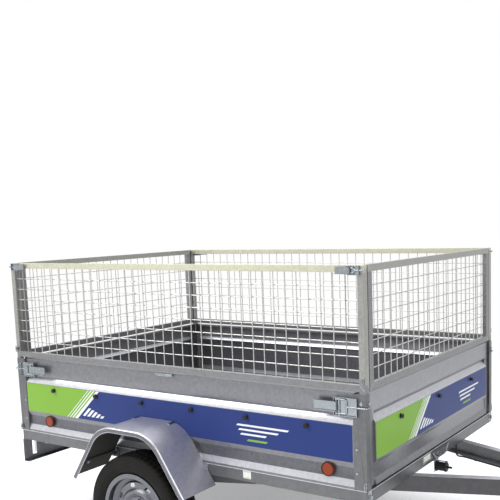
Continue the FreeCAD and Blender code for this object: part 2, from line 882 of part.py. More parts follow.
# Road wheels: each section is a list of offsets from the wheel's middle plane with radii
def tyre_shape(middle, along):
    half, crown = float(s.tyre_width) / 2, float(s.tyre_radius)
    tread, drop = float(s.tread_half), float(s.tread_drop)
    shoulder, widest = float(s.shoulder_radius), float(s.widest_radius)
    bead, foot = float(s.bead_radius), float(s.bead_half)
    lip = float(s.rim_lip_radius + s.overrun)

    def spot(offset, radius):
        return middle + along * offset + Vector(0, 0, radius)

    edges = [arc(spot(-tread, crown - drop), spot(0, crown), spot(tread, crown - drop))]
    for side in (1, -1):
        edges += lines([spot(tread * side, crown - drop), spot((half - drop) * side, shoulder)])
        edges.append(arc(spot((half - drop) * side, shoulder), spot(half * side, widest),
                         spot(foot * side, lip)))
        edges += lines([spot(foot * side, lip), spot(foot * side, bead)])
    edges += lines([spot(foot, bead), spot(-foot, bead)])
    face = Part.Face(Part.Wire(Part.sortEdges(edges)[0]))
    return face.revolve(middle, along, 360)


def rim_barrel(middle, along):
    half, wall = float(s.rim_width) / 2, float(s.rim_wall)
    seat, lip, well = float(s.bead_radius), float(s.rim_lip_radius), float(s.rim_well_radius)
    seat_half, hump = float(s.rim_seat_half), float(s.rim_hump_half)
    well_half = float(s.rim_well_half)
    outer = [(half, lip), (half - wall, lip), (seat_half - wall, seat), (hump, seat - wall),
             (well_half, well)]
    inner = [(well_half + wall, well - wall), (hump + wall, seat - wall * 2), (half, seat - wall)]
    section = outer + [(-distance, radius) for distance, radius in reversed(outer)]
    section += [(-distance, radius) for distance, radius in reversed(inner)] + inner
    return turned(section, middle, along)


def rim_disc(middle, along):
    wall, pad = float(s.rim_wall), float(s.disc_offset)
    crown = pad + float(s.disc_crown_rise)
    dish = pad + float(s.disc_face_rise)
    well = float(s.rim_well_radius - s.rim_wall)
    face = [(pad, float(s.hub_cap_radius)), (pad, float(s.disc_pad_radius)),
            (crown, float(s.disc_crown_inner)), (crown, float(s.disc_crown_outer)),
            (dish, float(s.disc_face_inner)), (dish, float(s.disc_face_outer)),
            (float(s.rim_well_half) - wall, well)]
    back = [(distance - wall, radius) for distance, radius in reversed(face)]
    return turned(face + back, middle, along)


vent_count = 8
bolt_count = 4
hexagon_sides = 6

# How far round the first vent is, as a share of the step between vents
vent_share = 2 / 3


def ring_of(count, radius, make, share=0):
    made = []
    for index in range(count):
        angle = 2 * math.pi * (index + share) / count
        made.append(make(Vector(math.sin(angle), 0, math.cos(angle)) * radius))
    return made


def make_wheel(hand, side):
    middle = Vector(float(axle_x), float(half_width + s.wheel_offset) * side, float(s.tyre_radius))
    along = Vector(0, side, 0)
    node(f"tyre_{hand}", feature(f"tyre_{hand}", tyre_shape(middle, along)))

    def drilled(radius):
        deep = float(s.rim_width)
        return lambda place_on: Part.makeCylinder(radius, deep, middle + place_on, along)

    def vent(place_on):
        radius = float(s.vent_radius)
        outward = Vector(place_on).normalize() * radius
        aside = along.cross(outward).normalize() * float(s.vent_reach)
        bore = drilled(radius)
        middle_part = plate([middle + place_on + aside + outward, middle + place_on + aside - outward,
                             middle + place_on - aside - outward, middle + place_on - aside + outward],
                            along * float(s.rim_width))
        return middle_part.fuse([bore(place_on + aside), bore(place_on - aside)])

    disc = rim_disc(middle, along)
    disc = disc.cut(ring_of(vent_count, float(s.vent_ring_radius), vent, vent_share))
    disc = disc.cut(ring_of(bolt_count, float(s.bolt_ring_radius), drilled(float(s.bolt_radius))))
    rim = rim_barrel(middle, along).fuse(disc)
    node(f"rim_{hand}", feature(f"rim_{hand}", rim))

    pad, thick = float(s.disc_offset), float(s.hub_flange_thickness)
    back = pad - float(s.rim_wall)
    stub_end = float(swing_outset) - float(s.wheel_offset)
    inner = stub_end + float(s.hub_gap)
    cap_end, corner = back + float(s.hub_cap_length), float(s.hub_cap_corner)
    bore = float(s.stub_radius + s.shaft_clearance)
    cap = float(s.hub_cap_radius - s.shaft_clearance)
    flange, barrel = float(s.hub_flange_radius), float(s.hub_radius)
    bore_end = back - thick / 2
    section = [(inner, bore), (inner, barrel), (back - thick, barrel), (back - thick, flange),
               (back, flange), (back, cap), (cap_end - corner, cap), (cap_end, cap - corner),
               (cap_end, 0), (bore_end, 0), (bore_end, bore)]
    hub = turned(section, middle, along)

    def bolt(place_on):
        shank = Part.makeCylinder(float(s.bolt_radius - s.shaft_clearance), pad - back,
                                  middle + place_on + along * back, along)
        seat = middle + place_on + along * pad
        corners = ring_of(hexagon_sides, float(s.bolt_head_radius),
                          lambda corner_on: seat + corner_on)
        return shank.fuse(plate(corners, along * float(s.bolt_head_height)))

    bolts = ring_of(bolt_count, float(s.bolt_ring_radius), bolt)
    node(f"hub_{hand}", feature(f"hub_{hand}", hub.fuse(bolts)))


# The axle: a square beam under the rails with a trailing arm and stub at each end
beam_x = axle_x + s.beam_lead
beam_z = rail_foot - s.beam_size / 2
swing_outset = s.swing_thickness - s.rail_inset + s.swing_gap


def make_axle_beam():
    width = s.body_width - s.beam_end_inset * 2
    wall = s.beam_wall
    outer = box("beam_outer", beam_x - s.beam_size / 2, -width / 2, rail_foot - s.beam_size,
                s.beam_size, width, s.beam_size)
    inner = box("beam_inner", beam_x - s.beam_size / 2 + wall, -width / 2 - s.overrun,
                rail_foot - s.beam_size + wall, s.beam_size - wall * 2, width + s.overrun * 2,
                s.beam_size - wall * 2)
    node("axle_beam", cut("axle_beam", outer, inner))


def make_swing_arms():
    inner_y = -half_width + s.beam_end_inset
    outer_y = -half_width - swing_outset
    arm = link_plate((beam_x, beam_z), s.swing_head_radius, (axle_x, s.tyre_radius),
                     s.swing_foot_radius, outer_y, s.swing_thickness)
    trunnion = Part.makeCylinder(float(s.beam_size / 2 - s.beam_wall), float(inner_y - outer_y),
                                 Vector(float(beam_x), float(outer_y), float(beam_z)),
                                 Vector(0, 1, 0))
    stub_length = s.wheel_offset - swing_outset + s.disc_offset - s.hub_flange_thickness
    stub = Part.makeCylinder(float(s.stub_radius), float(stub_length),
                             Vector(float(axle_x), float(outer_y), float(s.tyre_radius)),
                             Vector(0, -1, 0))
    pair("swing_arms", feature("right_swing_arm", arm.fuse([trunnion, stub])))


# The mudguard's arch, moved inwards by an inset: legs, round corners and a flat top
guard_turn = math.atan2(float(s.guard_top + s.guard_foot_drop),
                        float(s.guard_foot_half - s.guard_corner_half))


def arch_edges(inset):
    top = float(s.guard_top) - inset
    corner = float(s.guard_corner_half) - inset * math.tan(guard_turn / 2)
    radius = float(s.guard_corner_radius) - inset
    tangent = radius * math.tan(guard_turn / 2)
    lean = Vector(math.cos(guard_turn), 0, -math.sin(guard_turn))
    foot = Vector(float(s.guard_foot_half), 0, -float(s.guard_foot_drop)) \
        - Vector(math.sin(guard_turn), 0, math.cos(guard_turn)) * inset
    flat_end = Vector(corner - tangent, 0, top)
    leg_end = Vector(corner, 0, top) + lean * tangent
    middle = Vector(corner - tangent, 0, top - radius) + \
        Vector(math.sin(guard_turn / 2), 0, math.cos(guard_turn / 2)) * radius

    def flip(point):
        return Vector(-point.x, point.y, point.z)

    edges = lines([flip(foot), flip(leg_end)])
    edges.append(arc(flip(leg_end), flip(middle), flip(flat_end)))
    edges += lines([flip(flat_end), flat_end])
    edges.append(arc(flat_end, middle, leg_end))
    edges += lines([leg_end, foot])
    return edges, foot, flip(foot)


# Rounds the edges of a shape that run along the arch at an inset and a distance sideways
def bent_along_arch(shape, inset, y, radius):
    edges, foot, heel = arch_edges(inset)
    path = Part.Wire(Part.sortEdges(edges)[0])
    path.Placement = Placement(Vector(float(axle_x), float(y), float(rail_top)), Rotation())
    chosen = []
    for edge in shape.Edges:
        middle = edge.valueAt((edge.FirstParameter + edge.LastParameter) / 2)
        spots = [middle] + [corner.Point for corner in edge.Vertexes]
        if max(Part.Vertex(spot).distToShape(path)[0] for spot in spots) < float(s.same_spot):
            chosen.append(edge)
    return shape.makeFillet(float(radius), chosen)


def arch_band(depth, y, width):
    outer, outer_foot, outer_heel = arch_edges(0)
    inner, inner_foot, inner_heel = arch_edges(depth)
    caps = lines([outer_foot, inner_foot]) + lines([outer_heel, inner_heel])
    wire = Part.Wire(Part.sortEdges(outer + inner + caps)[0])
    band = Part.Face(wire).extrude(Vector(0, float(width), 0))
    band.Placement = Placement(Vector(float(axle_x), float(y), float(rail_top)), Rotation())
    return band


def make_mudguards():
    outer_y = -half_width - s.guard_width
    sheet_band = arch_band(float(s.guard_wall), outer_y, s.guard_width)
    lip = arch_band(float(s.guard_lip), outer_y, s.guard_wall)
    shape = sheet_band.fuse(lip).removeSplitter()
    shape = bent_along_arch(shape, float(s.guard_wall), outer_y + s.guard_wall, s.guard_bend)
    shape = bent_along_arch(shape, 0, outer_y, s.guard_bend + s.guard_wall)
    pair("mudguards", feature("right_mudguard", shape))


# Flat stays under the mudguard's legs, bolted to the side rail
def make_guard_stays():
    fall = float(rail_top - s.guard_foot_drop)
    rise = float(rail_foot + s.rail_height / 2) - fall
    length = float(s.guard_stay_reach + s.rail_inset)
    stays = []
    for name, way in (("front_stay", 1), ("rear_stay", -1)):
        along = Vector(-way * math.cos(guard_turn), 0, math.sin(guard_turn))
        inward = Vector(-way * math.sin(guard_turn), 0, -math.cos(guard_turn))
        foot = Vector(float(axle_x) + way * float(s.guard_foot_half),
                      -float(half_width + s.guard_stay_reach), fall)
        start = foot + along * (rise / math.sin(guard_turn)) + inward * float(s.guard_wall)
        half = along * (float(s.guard_stay_width) / 2)
        thick = inward * float(s.guard_stay_thickness)
        corners = [start - half, start + half, start + half + thick, start - half + thick]
        stays.append(feature(name, plate(corners, Vector(0, length, 0))))
    pair("mudguard_stays", *stays)


# A gate has the panels' profile between two flat stiles and a hinge pin at each bottom corner
gate_half = half_width - s.post_front_leg - s.gate_end_gap
field_half = gate_half - s.gate_stile
pin_z = rail_top + s.gate_pin_height


# Each stile laps over the end plate by the sheet's thickness
def gate_stile(name, forward, face_x, y, hollow_lead):
    foot, wall = s.gate_floor_gap, s.sheet_wall
    back = s.panel_depth if forward > 0 else -s.band_inset
    hollow_back = s.panel_depth + s.overrun if forward > 0 else -s.band_inset - wall
    outer = box(name + "_outer", face_x - back, y, rail_top + foot,
                s.panel_depth - s.band_inset, s.gate_stile + wall, s.body_height - foot)
    hollow = box(name + "_hollow", face_x - hollow_back, y - hollow_lead, rail_top + foot + wall,
                 s.panel_depth - s.band_inset - wall + s.overrun, s.gate_stile + s.overrun,
                 s.body_height - foot - wall * 2)
    return cut(name, outer, hollow)


def make_gate(end, forward, face_x):
    name = f"{end}_gate"
    foot, wall = s.gate_floor_gap, s.sheet_wall
    parts = [padded(name + "_panel", "y", panel_profile(foot, forward), field_half * 2,
                    x=face_x, y=-field_half, z=rail_top)]
    lug_x = face_x - s.panel_depth if forward > 0 else face_x + s.decal_inset
    pin_x = face_x - s.gate_pin_depth * forward
    reach = s.post_front_leg + s.gate_end_gap + wall / 2
    for hand, stile_y, hollow_lead, plate_y, lug_y, pin_y, head_y in (
        ("right", -gate_half, -wall, -field_half, -gate_half, -half_width,
         -half_width - s.pin_head_length),
        ("left", field_half - wall, s.overrun, field_half - wall, gate_half - wall,
         gate_half - wall / 2, half_width),
    ):
        parts.append(padded(f"{name}_{hand}_plate", "y", panel_end(foot, forward), wall,
                            x=face_x, y=plate_y, z=rail_top))
        parts.append(gate_stile(f"{name}_{hand}_stile", forward, face_x, stile_y, hollow_lead))
        parts.append(box(f"{name}_{hand}_lug", lug_x, lug_y, rail_top + foot,
                         s.panel_depth - s.decal_inset, wall, s.gate_lug_height))
        parts.append(rod(f"{name}_{hand}_pin", "y", pin_x, pin_y, pin_z, s.gate_pin_radius,
                         reach))
        parts.append(rod(f"{name}_{hand}_head", "y", pin_x, head_y, pin_z, s.pin_head_radius,
                         s.pin_head_length))
    node(name, fused(name, *parts))


# Wire mesh in a bar frame: upright and level wires lie in two layers side by side
def mesh_shape(length, post_width, post_depth):
    bar, deep = float(s.mesh_bar), float(s.mesh_bar_depth)
    height = float(s.mesh_height)
    radius, pitch = float(s.wire_radius), float(s.mesh_pitch)
    pieces = [Part.makeBox(length, deep, bar),
              Part.makeBox(length, deep, bar, Vector(0, 0, height - bar))]
    for x in (0, length - post_width):
        pieces.append(Part.makeBox(post_width, post_depth, height, Vector(x, 0, 0)))
    layer = radius + float(s.wire_layer_gap) / 2
    uprights = round((length - post_width * 2) / pitch)
    levels = round((height - bar * 2) / pitch)
    for index in range(1, uprights):
        x = post_width + (length - post_width * 2) * index / uprights
        start = Vector(x, deep / 2 - layer, bar / 2)
        pieces.append(Part.makeCylinder(radius, height - bar, start))
    for index in range(1, levels):
        z = bar + (height - bar * 2) * index / levels
        start = Vector(post_width / 2, deep / 2 + layer, z)
        pieces.append(Part.makeCylinder(radius, length - post_width, start, Vector(1, 0, 0)))
    return pieces[0].fuse(pieces[1:])


mesh_pin_depth = s.sheet_wall + s.mesh_bar_depth / 2
mesh_pin_z = mesh_foot + s.mesh_pin_rise


def make_side_mesh():
    length = float(s.body_length - s.sheet_wall * 2)
    wide, deep = float(s.mesh_post_width), float(s.post_front_leg)
    stake = float(s.mesh_stake + s.mesh_lift)
    stakes = [Part.makeBox(wide, float(s.mesh_bar_depth), stake, Vector(x, 0, -stake))
              for x in (0, length - wide)]
    shape = mesh_shape(length, wide, deep).fuse(stakes)
    start = Vector(float(rear + s.sheet_wall), float(s.sheet_wall - half_width), float(mesh_foot))
    shape.Placement = Placement(start, Rotation())
    holes = []
    for x in (front - mesh_pin_depth, rear + mesh_pin_depth):
        hole_start = Vector(float(x), start.y - deep / 2, float(mesh_pin_z))
        holes.append(Part.makeCylinder(float(s.mesh_pin_radius + s.pin_clearance), deep * 2,
                                       hole_start, Vector(0, 1, 0)))
    pair("side_mesh", feature("right_mesh", shape.cut(holes)))


def make_mesh_gate(end, forward, face_x):
    length = float(s.body_width - (s.sheet_wall + s.post_front_leg + s.mesh_end_gap) * 2)
    shape = mesh_shape(length, float(s.mesh_gate_post_width), float(s.mesh_bar_depth))
    middle_x = float(face_x - mesh_pin_depth * forward)
    start = Vector(middle_x + forward * float(s.mesh_bar_depth) / 2, -forward * length / 2,
                   float(mesh_foot))
    shape.Placement = Placement(start, Rotation(Vector(0, 0, 1), 90 * forward))
    root = length / 2 - float(s.pin_root)
    outer = float(half_width)
    pins = []
    for side in (-1, 1):
        along = Vector(0, side, 0)
        pins.append(Part.makeCylinder(float(s.mesh_pin_radius), outer - root,
                                      Vector(middle_x, side * root, float(mesh_pin_z)), along))
        pins.append(Part.makeCylinder(float(s.pin_head_radius), float(s.pin_head_length),
                                      Vector(middle_x, side * outer, float(mesh_pin_z)), along))
    name = f"{end}_mesh_gate"
    node(name, feature(name, shape.fuse(pins)))


# Lashing buttons have a broad foot, a neck for the cord and a flat head
side_button_count = 6
gate_button_count = 3


def button_shape(start, along):
    foot, tall = float(s.button_foot), float(s.button_height)
    neck, head = float(s.button_neck_radius), float(s.button_head)
    broad = float(s.button_radius)
    edge = head / 2
    section = [(0, 0), (0, broad), (foot / 2, broad), (foot, neck), (tall - head, neck),
               (tall - edge, broad), (tall, broad - edge), (tall, 0)]
    return turned(section, start, along)


def make_side_buttons():
    level = float(body_top - s.button_drop)
    outer = float(half_width - s.decal_inset)
    first = float((front + rear) / 2 - s.button_pitch * (side_button_count - 1) / 2)
    buttons = []
    for index in range(side_button_count):
        x = first + float(s.button_pitch) * index
        buttons.append(feature(f"side_button_{index}",
                               button_shape(Vector(x, -outer, level), Vector(0, -1, 0))))
    pair("side_buttons", *buttons)


def make_gate_buttons(end, forward, face_x):
    level = float(body_top - s.button_drop)
    first = -float(s.gate_button_pitch) * (gate_button_count - 1) / 2
    buttons = []
    for index in range(gate_button_count):
        y = first + float(s.gate_button_pitch) * index
        start = Vector(float(face_x - s.decal_inset * forward), y, level)
        buttons.append(feature(f"{end}_gate_button_{index}",
                               button_shape(start, Vector(forward, 0, 0))))
    node(f"{end}_gate_buttons", gathered(f"{end}_gate_buttons", *buttons))


def make_reflectors():
    level = float(rail_top + s.reflector_level)
    broad, dome = float(s.reflector_radius), float(s.reflector_dome)
    foot, narrow = float(s.reflector_foot), float(s.reflector_foot_radius)
    rim = foot + float(s.reflector_rim)
    section = [(0, 0), (0, narrow), (foot, narrow), (foot, broad), (rim, broad),
               (rim + dome, broad - dome * 2), (rim + dome, 0)]
    items = []
    for end, x in (("front", front - s.reflector_end_gap),
                   ("rear", rear + s.rear_reflector_end_gap)):
        seat = Vector(float(x), -float(half_width - s.skirt_inset), level)
        items.append(feature(f"{end}_reflector", turned(section, seat, Vector(0, -1, 0))))
    pair("side_reflectors", *items)


# A toggle latch with its corner at zero: x runs forward, y outward is negative, the seat is y = 0
def latch_shape(tray, tall, corner_gap, lever, lever_tall, hook):
    deep, wall = float(s.latch_depth), float(s.latch_wall)
    pin, wire = float(s.latch_pin_radius), float(s.latch_rod_radius)
    flange = float(s.latch_flange)
    back = -corner_gap - tray
    dish = Part.makeBox(tray, deep, tall, Vector(back, -deep, -tall / 2))
    dish = dish.cut(Part.makeBox(tray - wall * 2, deep, tall - wall * 2,
                                 Vector(back + wall, -deep - wall, wall - tall / 2)))
    pin_x = back + wall + pin * 2
    pins = []
    for x in (pin_x, pin_x + float(s.latch_pin_pitch)):
        pins.append(Part.makeCylinder(pin, tall - wall, Vector(x, -deep / 2, (wall - tall) / 2)))
    lever_end = pin_x + pin
    channel = Part.makeBox(lever, wall + flange, lever_tall,
                           Vector(lever_end - lever, -deep - wall - flange, -lever_tall / 2))
    channel = channel.cut(Part.makeBox(lever + wall * 2, flange, lever_tall - wall * 2,
                                       Vector(lever_end - lever - wall, -deep - wall - flange,
                                              wall - lever_tall / 2)))
    out = -wire - float(s.latch_rod_gap)
    loop_x = pin_x + (tray + back - pin_x) / 2
    rise = tall / 2 - wall * 2 - wire
    loop = bent_rod([Vector(pin_x, out, -rise), Vector(loop_x, out, -rise),
                     Vector(loop_x, out, rise), Vector(pin_x, out, rise)],
                    wire, float(s.latch_loop_bend))
    draw = bent_rod([Vector(loop_x, out, 0), Vector(-out, out, 0), Vector(-out, out + hook, 0)],
                    wire, float(s.latch_bend))
    return dish.fuse(pins + [channel, loop, draw])


def placed_latches(name, shape, corners, y, z):
    latches = []
    for end, forward, x in corners:
        turned_shape = shape if forward > 0 else shape.mirror(Vector(), Vector(1, 0, 0))
        turned_shape = turned_shape.copy()
        turned_shape.translate(Vector(float(x), float(y), float(z)))
        latches.append(feature(f"{end}_{name}", turned_shape))
    pair(name, *latches)


def make_body_latches():
    tray, gap = float(s.body_latch_tray), float(s.body_latch_corner_gap)
    tall, leg = float(s.body_latch_height), float(s.post_side_leg)
    shape = latch_shape(tray, tall, gap, float(s.body_latch_lever),
                        float(s.body_latch_lever_height), float(s.latch_hook_length))
    packer = Part.makeBox(tray + gap - leg, float(s.band_inset), tall,
                          Vector(-gap - tray, 0, -tall / 2))
    placed_latches("body_latches", shape.fuse(packer), (("front", 1, front), ("rear", -1, rear)),
                   -half_width, body_top - s.body_latch_drop)


def make_mesh_latches():
    shape = latch_shape(float(s.mesh_latch_tray), float(s.mesh_latch_height),
                        float(s.mesh_latch_corner_gap), float(s.mesh_latch_lever),
                        float(s.mesh_latch_lever_height), float(s.mesh_latch_hook_length))
    corners = (("front", 1, front - s.sheet_wall), ("rear", -1, rear + s.sheet_wall))
    placed_latches("mesh_latches", shape, corners, s.sheet_wall - half_width,
                   mesh_top - s.mesh_latch_drop)


# The rear light bar is a folded channel hung under the rear member
def make_light_bar():
    wall = s.bar_wall
    points = [
        (s.bar_flange, zero),
        (-wall, zero),
        (-wall, -s.bar_height),
        (s.bar_flange, -s.bar_height),
        (s.bar_flange, wall - s.bar_height),
        (zero, wall - s.bar_height),
        (zero, -wall),
        (s.bar_flange, -wall),
    ]
    bar = padded("light_bar_fold", "y", points, s.body_width, x=rear, y=-half_width, z=rail_foot)
    windows = []
    z = rail_foot - s.bar_height / 2 - s.bar_window_height / 2
    for hand, y in (("right", s.bar_window_inset - half_width),
                    ("left", half_width - s.bar_window_inset - s.bar_window_length)):
        windows.append(box(f"bar_window_{hand}", rear - wall - s.overrun, y, z,
                           wall + s.overrun * 2, s.bar_window_length, s.bar_window_height))
    node("rear_light_bar", cut("rear_light_bar", bar, *windows))


# A rounded outline across the trailer, for the lamps
def lamp_outline(x, inset):
    half_long = float(s.lamp_length) / 2 - inset
    half_tall = float(s.lamp_height) / 2 - inset
    corner = float(s.lamp_corner)
    y = float(s.lamp_inset + s.lamp_length / 2 - half_width)
    z = float(rail_foot - s.bar_height / 2)
    bend = corner * (1 - math.sqrt(1 / 2))

    def spot(across, up):
        return Vector(x, y + across, z + up)

    edges = []
    for turn in ((1, 1), (-1, 1), (-1, -1), (1, -1)):
        wide, tall = half_long * turn[0], half_tall * turn[1]
        side = spot(wide, tall - corner * turn[1])
        top = spot(wide - corner * turn[0], tall)
        middle = spot(wide - bend * turn[0], tall - bend * turn[1])
        edges.append(arc(side, middle, top))
    for side in (1, -1):
        up, out = half_tall * side, half_long * side
        edges += lines([spot(corner - half_long, up), spot(half_long - corner, up)])
        edges += lines([spot(out, corner - half_tall), spot(out, half_tall - corner)])
    return Part.Wire(Part.sortEdges(edges)[0])


def make_tail_lamps():
    face = float(rear - s.bar_wall)
    joint = face - float(s.lamp_base)
    back = face - float(s.lamp_depth)
    base = Part.Face(lamp_outline(face, 0)).extrude(Vector(joint - face, 0, 0))
    pair("tail_lamp_bases", feature("lamp_base", base))
    lens = Part.makeLoft([lamp_outline(joint, float(s.bar_wall)),
                          lamp_outline(back, float(s.lamp_taper))], True, True)
    pair("tail_lamp_lenses", feature("lamp_lens", lens))


# Fittings on the front member: blank tag, parking socket for the plug and its bracket
def make_front_fittings():
    node("front_tag", box("front_tag", front, -s.tag_side - s.tag_width / 2,
                          rail_top - s.tag_drop - s.tag_height,
                          s.tag_thickness, s.tag_width, s.tag_height))
    y = -s.socket_side
    axis_z = rail_foot - s.socket_drop
    hanger = box("bracket_plate", front, y - s.bracket_width / 2, axis_z - s.bracket_width / 2,
                 s.bracket_thickness, s.bracket_width, s.socket_drop + s.bracket_width / 2)
    tab = box("bracket_tab", front - s.crossmember_width / 2, y - s.bracket_width / 2,
              rail_foot - s.bracket_thickness, s.crossmember_width / 2, s.bracket_width,
              s.bracket_thickness)
    node("socket_bracket", fused("socket_bracket", hanger, tab))
    flange, barrel = float(s.socket_flange_radius), float(s.socket_radius)
    lid, lever = float(s.socket_lid_radius), float(s.socket_lever_radius)
    foot, length = float(s.socket_flange_length), float(s.socket_length)
    lid_start = length - float(s.socket_lid_length)
    end = length + float(s.socket_lever_length)
    section = [(0, 0), (0, flange), (foot, flange), (foot, barrel), (lid_start, barrel),
               (lid_start, lid), (length - lever / 2, lid), (length, lid - lever / 2),
               (length, lever), (end, lever), (end, 0)]
    seat = Vector(float(front + s.bracket_thickness), float(y), float(axis_z))
    node("parking_socket", feature("parking_socket", turned(section, seat, Vector(1, 0, 0))))


# The wiring lead leaves the front member, clips under the left arm and enters the nose tube
lead_clip_count = 3


def make_lead():
    radius = float(s.lead_radius)
    sleeve = radius + float(s.lead_clip_wall)
    foot = float(arm_foot)
    under = foot - sleeve - float(s.shaft_clearance)
    across = float(s.arm_width) / math.cos(arm_turn)

    def under_arm(reach):
        return Vector(float(front + reach), arm_line(reach) - across + float(s.lead_edge_inset), under)

    first_clip = arm_reach - s.gusset_length - s.lead_clip_pitch * lead_clip_count
    last_clip = first_clip + s.lead_clip_pitch * (lead_clip_count - 1)
    grommet_y = arm_line(zero) - across - float(s.lead_arm_gap)
    exit_x = float(front - s.lead_member_inset)
    tube_z = foot + float(s.arm_height) / 2
    grommet_z = float(rail_foot - s.lead_grommet_height)
    route = [
        Vector(exit_x, grommet_y, float(rail_foot)),
        Vector(exit_x, grommet_y, foot),
        under_arm(first_clip - s.lead_clip_pitch / 2),
        under_arm(last_clip + s.lead_clip_pitch / 2),
        Vector(float(front + tube_tail - s.lead_member_inset), 0, tube_z),
        Vector(float(front + tube_tail + s.lead_tube_depth), 0, tube_z),
    ]
    pieces = [Part.makeCylinder(float(s.lead_grommet_radius), float(s.lead_grommet_height),
                                Vector(exit_x, grommet_y, grommet_z))]
    heading = Vector(1, -arm_slope, 0)
    half_clip = heading.normalize() * (float(s.lead_clip_length) / 2)
    for index in range(lead_clip_count):
        middle = under_arm(first_clip + s.lead_clip_pitch * index)
        pieces.append(Part.makeCylinder(sleeve, float(s.lead_clip_length), middle - half_clip, heading))
    node("wiring_lead", feature("wiring_lead", bent_rod(route, radius).fuse(pieces)))


make_side_panels()
make_corner_posts()
make_floor()
make_rails()
make_cross_members()
make_drawbar_arms()
make_drawbar_plates()
make_nose_tube()
make_coupling_head()
make_coupling_handle()
make_jack_clamp()
make_jack_tube()
make_jack_crank()
make_jack_inner()
make_jack_fork()
make_jack_wheel()
for hand, side in (("right", -1), ("left", 1)):
    make_wheel(hand, side)
make_axle_beam()
make_swing_arms()
make_mudguards()
make_guard_stays()
for end, forward, face_x in (("front", 1, front), ("rear", -1, rear)):
    make_gate(end, forward, face_x)
    make_mesh_gate(end, forward, face_x)
    make_gate_buttons(end, forward, face_x)
make_side_mesh()
make_side_buttons()
make_reflectors()
make_body_latches()
make_mesh_latches()
make_light_bar()
make_tail_lamps()
make_front_fittings()
make_lead()

doc.recompute()

for item in doc.Objects:
    if "Invalid" in item.State or "Error" in item.State:
        raise RuntimeError(f"{item.Name} did not build: {item.State}")
for name, item in nodes.items():
    if item.Shape.isNull() or not item.Shape.isValid():
        raise RuntimeError(f"{name} has no valid shape")
    item.Shape.exportStep(f"parts/{name}.step")

print(len(nodes), "nodes")
print("front face at", round(float(front), 3), "ball at", round(float(ball_x), 3))
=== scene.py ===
import json
import math

import bmesh
import bpy
from mathutils import Matrix, Vector


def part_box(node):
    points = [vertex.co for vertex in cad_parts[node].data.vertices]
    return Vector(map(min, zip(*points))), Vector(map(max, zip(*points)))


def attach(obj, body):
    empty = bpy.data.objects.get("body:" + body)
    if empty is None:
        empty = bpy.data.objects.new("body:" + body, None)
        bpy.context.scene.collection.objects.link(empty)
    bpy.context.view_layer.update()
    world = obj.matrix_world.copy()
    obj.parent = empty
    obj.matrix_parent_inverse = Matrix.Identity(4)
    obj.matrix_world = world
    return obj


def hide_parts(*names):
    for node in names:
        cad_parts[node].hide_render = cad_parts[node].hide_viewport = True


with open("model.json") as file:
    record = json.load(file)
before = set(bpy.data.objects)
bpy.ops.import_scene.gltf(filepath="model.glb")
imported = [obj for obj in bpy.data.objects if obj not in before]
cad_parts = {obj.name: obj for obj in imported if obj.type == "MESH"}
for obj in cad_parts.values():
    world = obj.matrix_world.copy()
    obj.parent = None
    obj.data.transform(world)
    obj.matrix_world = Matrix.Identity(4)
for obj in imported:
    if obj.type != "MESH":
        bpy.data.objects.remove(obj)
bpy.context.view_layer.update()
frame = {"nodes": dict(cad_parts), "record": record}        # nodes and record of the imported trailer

nodes = frame["nodes"]
print("frame loaded:", len(nodes), "nodes")


def addObject(name, data):
    item = bpy.data.objects.new(name, data)
    bpy.context.scene.collection.objects.link(item)
    return item


# Camera at the photograph's viewing angle, worked out from the body's straight edges
camera = {
    "place": (1.9468, -3.2435, 1.5374),
    "yaw": -33.03,      # degrees from +Y, to the left
    "pitch": 6.98,      # looking down
    "roll": -1.79,
    "lens": 56.04,
    "shift": (-0.10, 0.131),
    "clipEnd": 200,
}


def makeCamera():
    yaw, pitch, roll = (math.radians(camera[key]) for key in ("yaw", "pitch", "roll"))
    ahead = Vector((math.sin(yaw) * math.cos(pitch), math.cos(yaw) * math.cos(pitch), -math.sin(pitch)))
    level = Vector((math.cos(yaw), -math.sin(yaw), 0))
    upright = level.cross(ahead)
    right = level * math.cos(roll) + upright * math.sin(roll)
    up = upright * math.cos(roll) - level * math.sin(roll)
    lens = bpy.data.cameras.new("camera")
    lens.lens = camera["lens"]
    lens.shift_x, lens.shift_y = camera["shift"]
    lens.clip_end = camera["clipEnd"]
    item = addObject("camera", lens)
    turned = Matrix((right, up, -ahead)).transposed().to_4x4()
    item.matrix_world = Matrix.Translation(camera["place"]) @ turned
    bpy.context.scene.camera = item


# Materials: colours are written as sRGB hex values
def linear(hexColour):
    parts = [int(hexColour[spot:spot + 2], 16) / 255 for spot in (1, 3, 5)]
    return tuple(c / 12.92 if c <= 0.04045 else ((c + 0.055) / 1.055) ** 2.4 for c in parts) + (1,)


# Adds a node with its settings and links, and gives back one of its outputs
def addNode(tree, kind, inputs=None, output=0, feeds=None, **settings):
    made = tree.nodes.new("ShaderNode" + kind)
    for name, value in settings.items():
        setattr(made, name, value)
    for key, value in (inputs or {}).items():
        if isinstance(value, bpy.types.NodeSocket):
            tree.links.new(value, made.inputs[key])
        else:
            made.inputs[key].default_value = value
    found = made.outputs[output] if len(made.outputs) else None
    if feeds:
        tree.links.new(found, feeds)
    return found


def emptyTree(owner):
    owner.use_nodes = True
    owner.node_tree.nodes.clear()
    return owner.node_tree


def newMaterial(name, surface):
    material = bpy.data.materials.new(name)
    tree = emptyTree(material)
    shader = addNode(tree, "BsdfPrincipled", surface)
    addNode(tree, "OutputMaterial", {"Surface": shader})
    return material, tree, shader.node.inputs, addNode(tree, "TexCoord", output="Object")


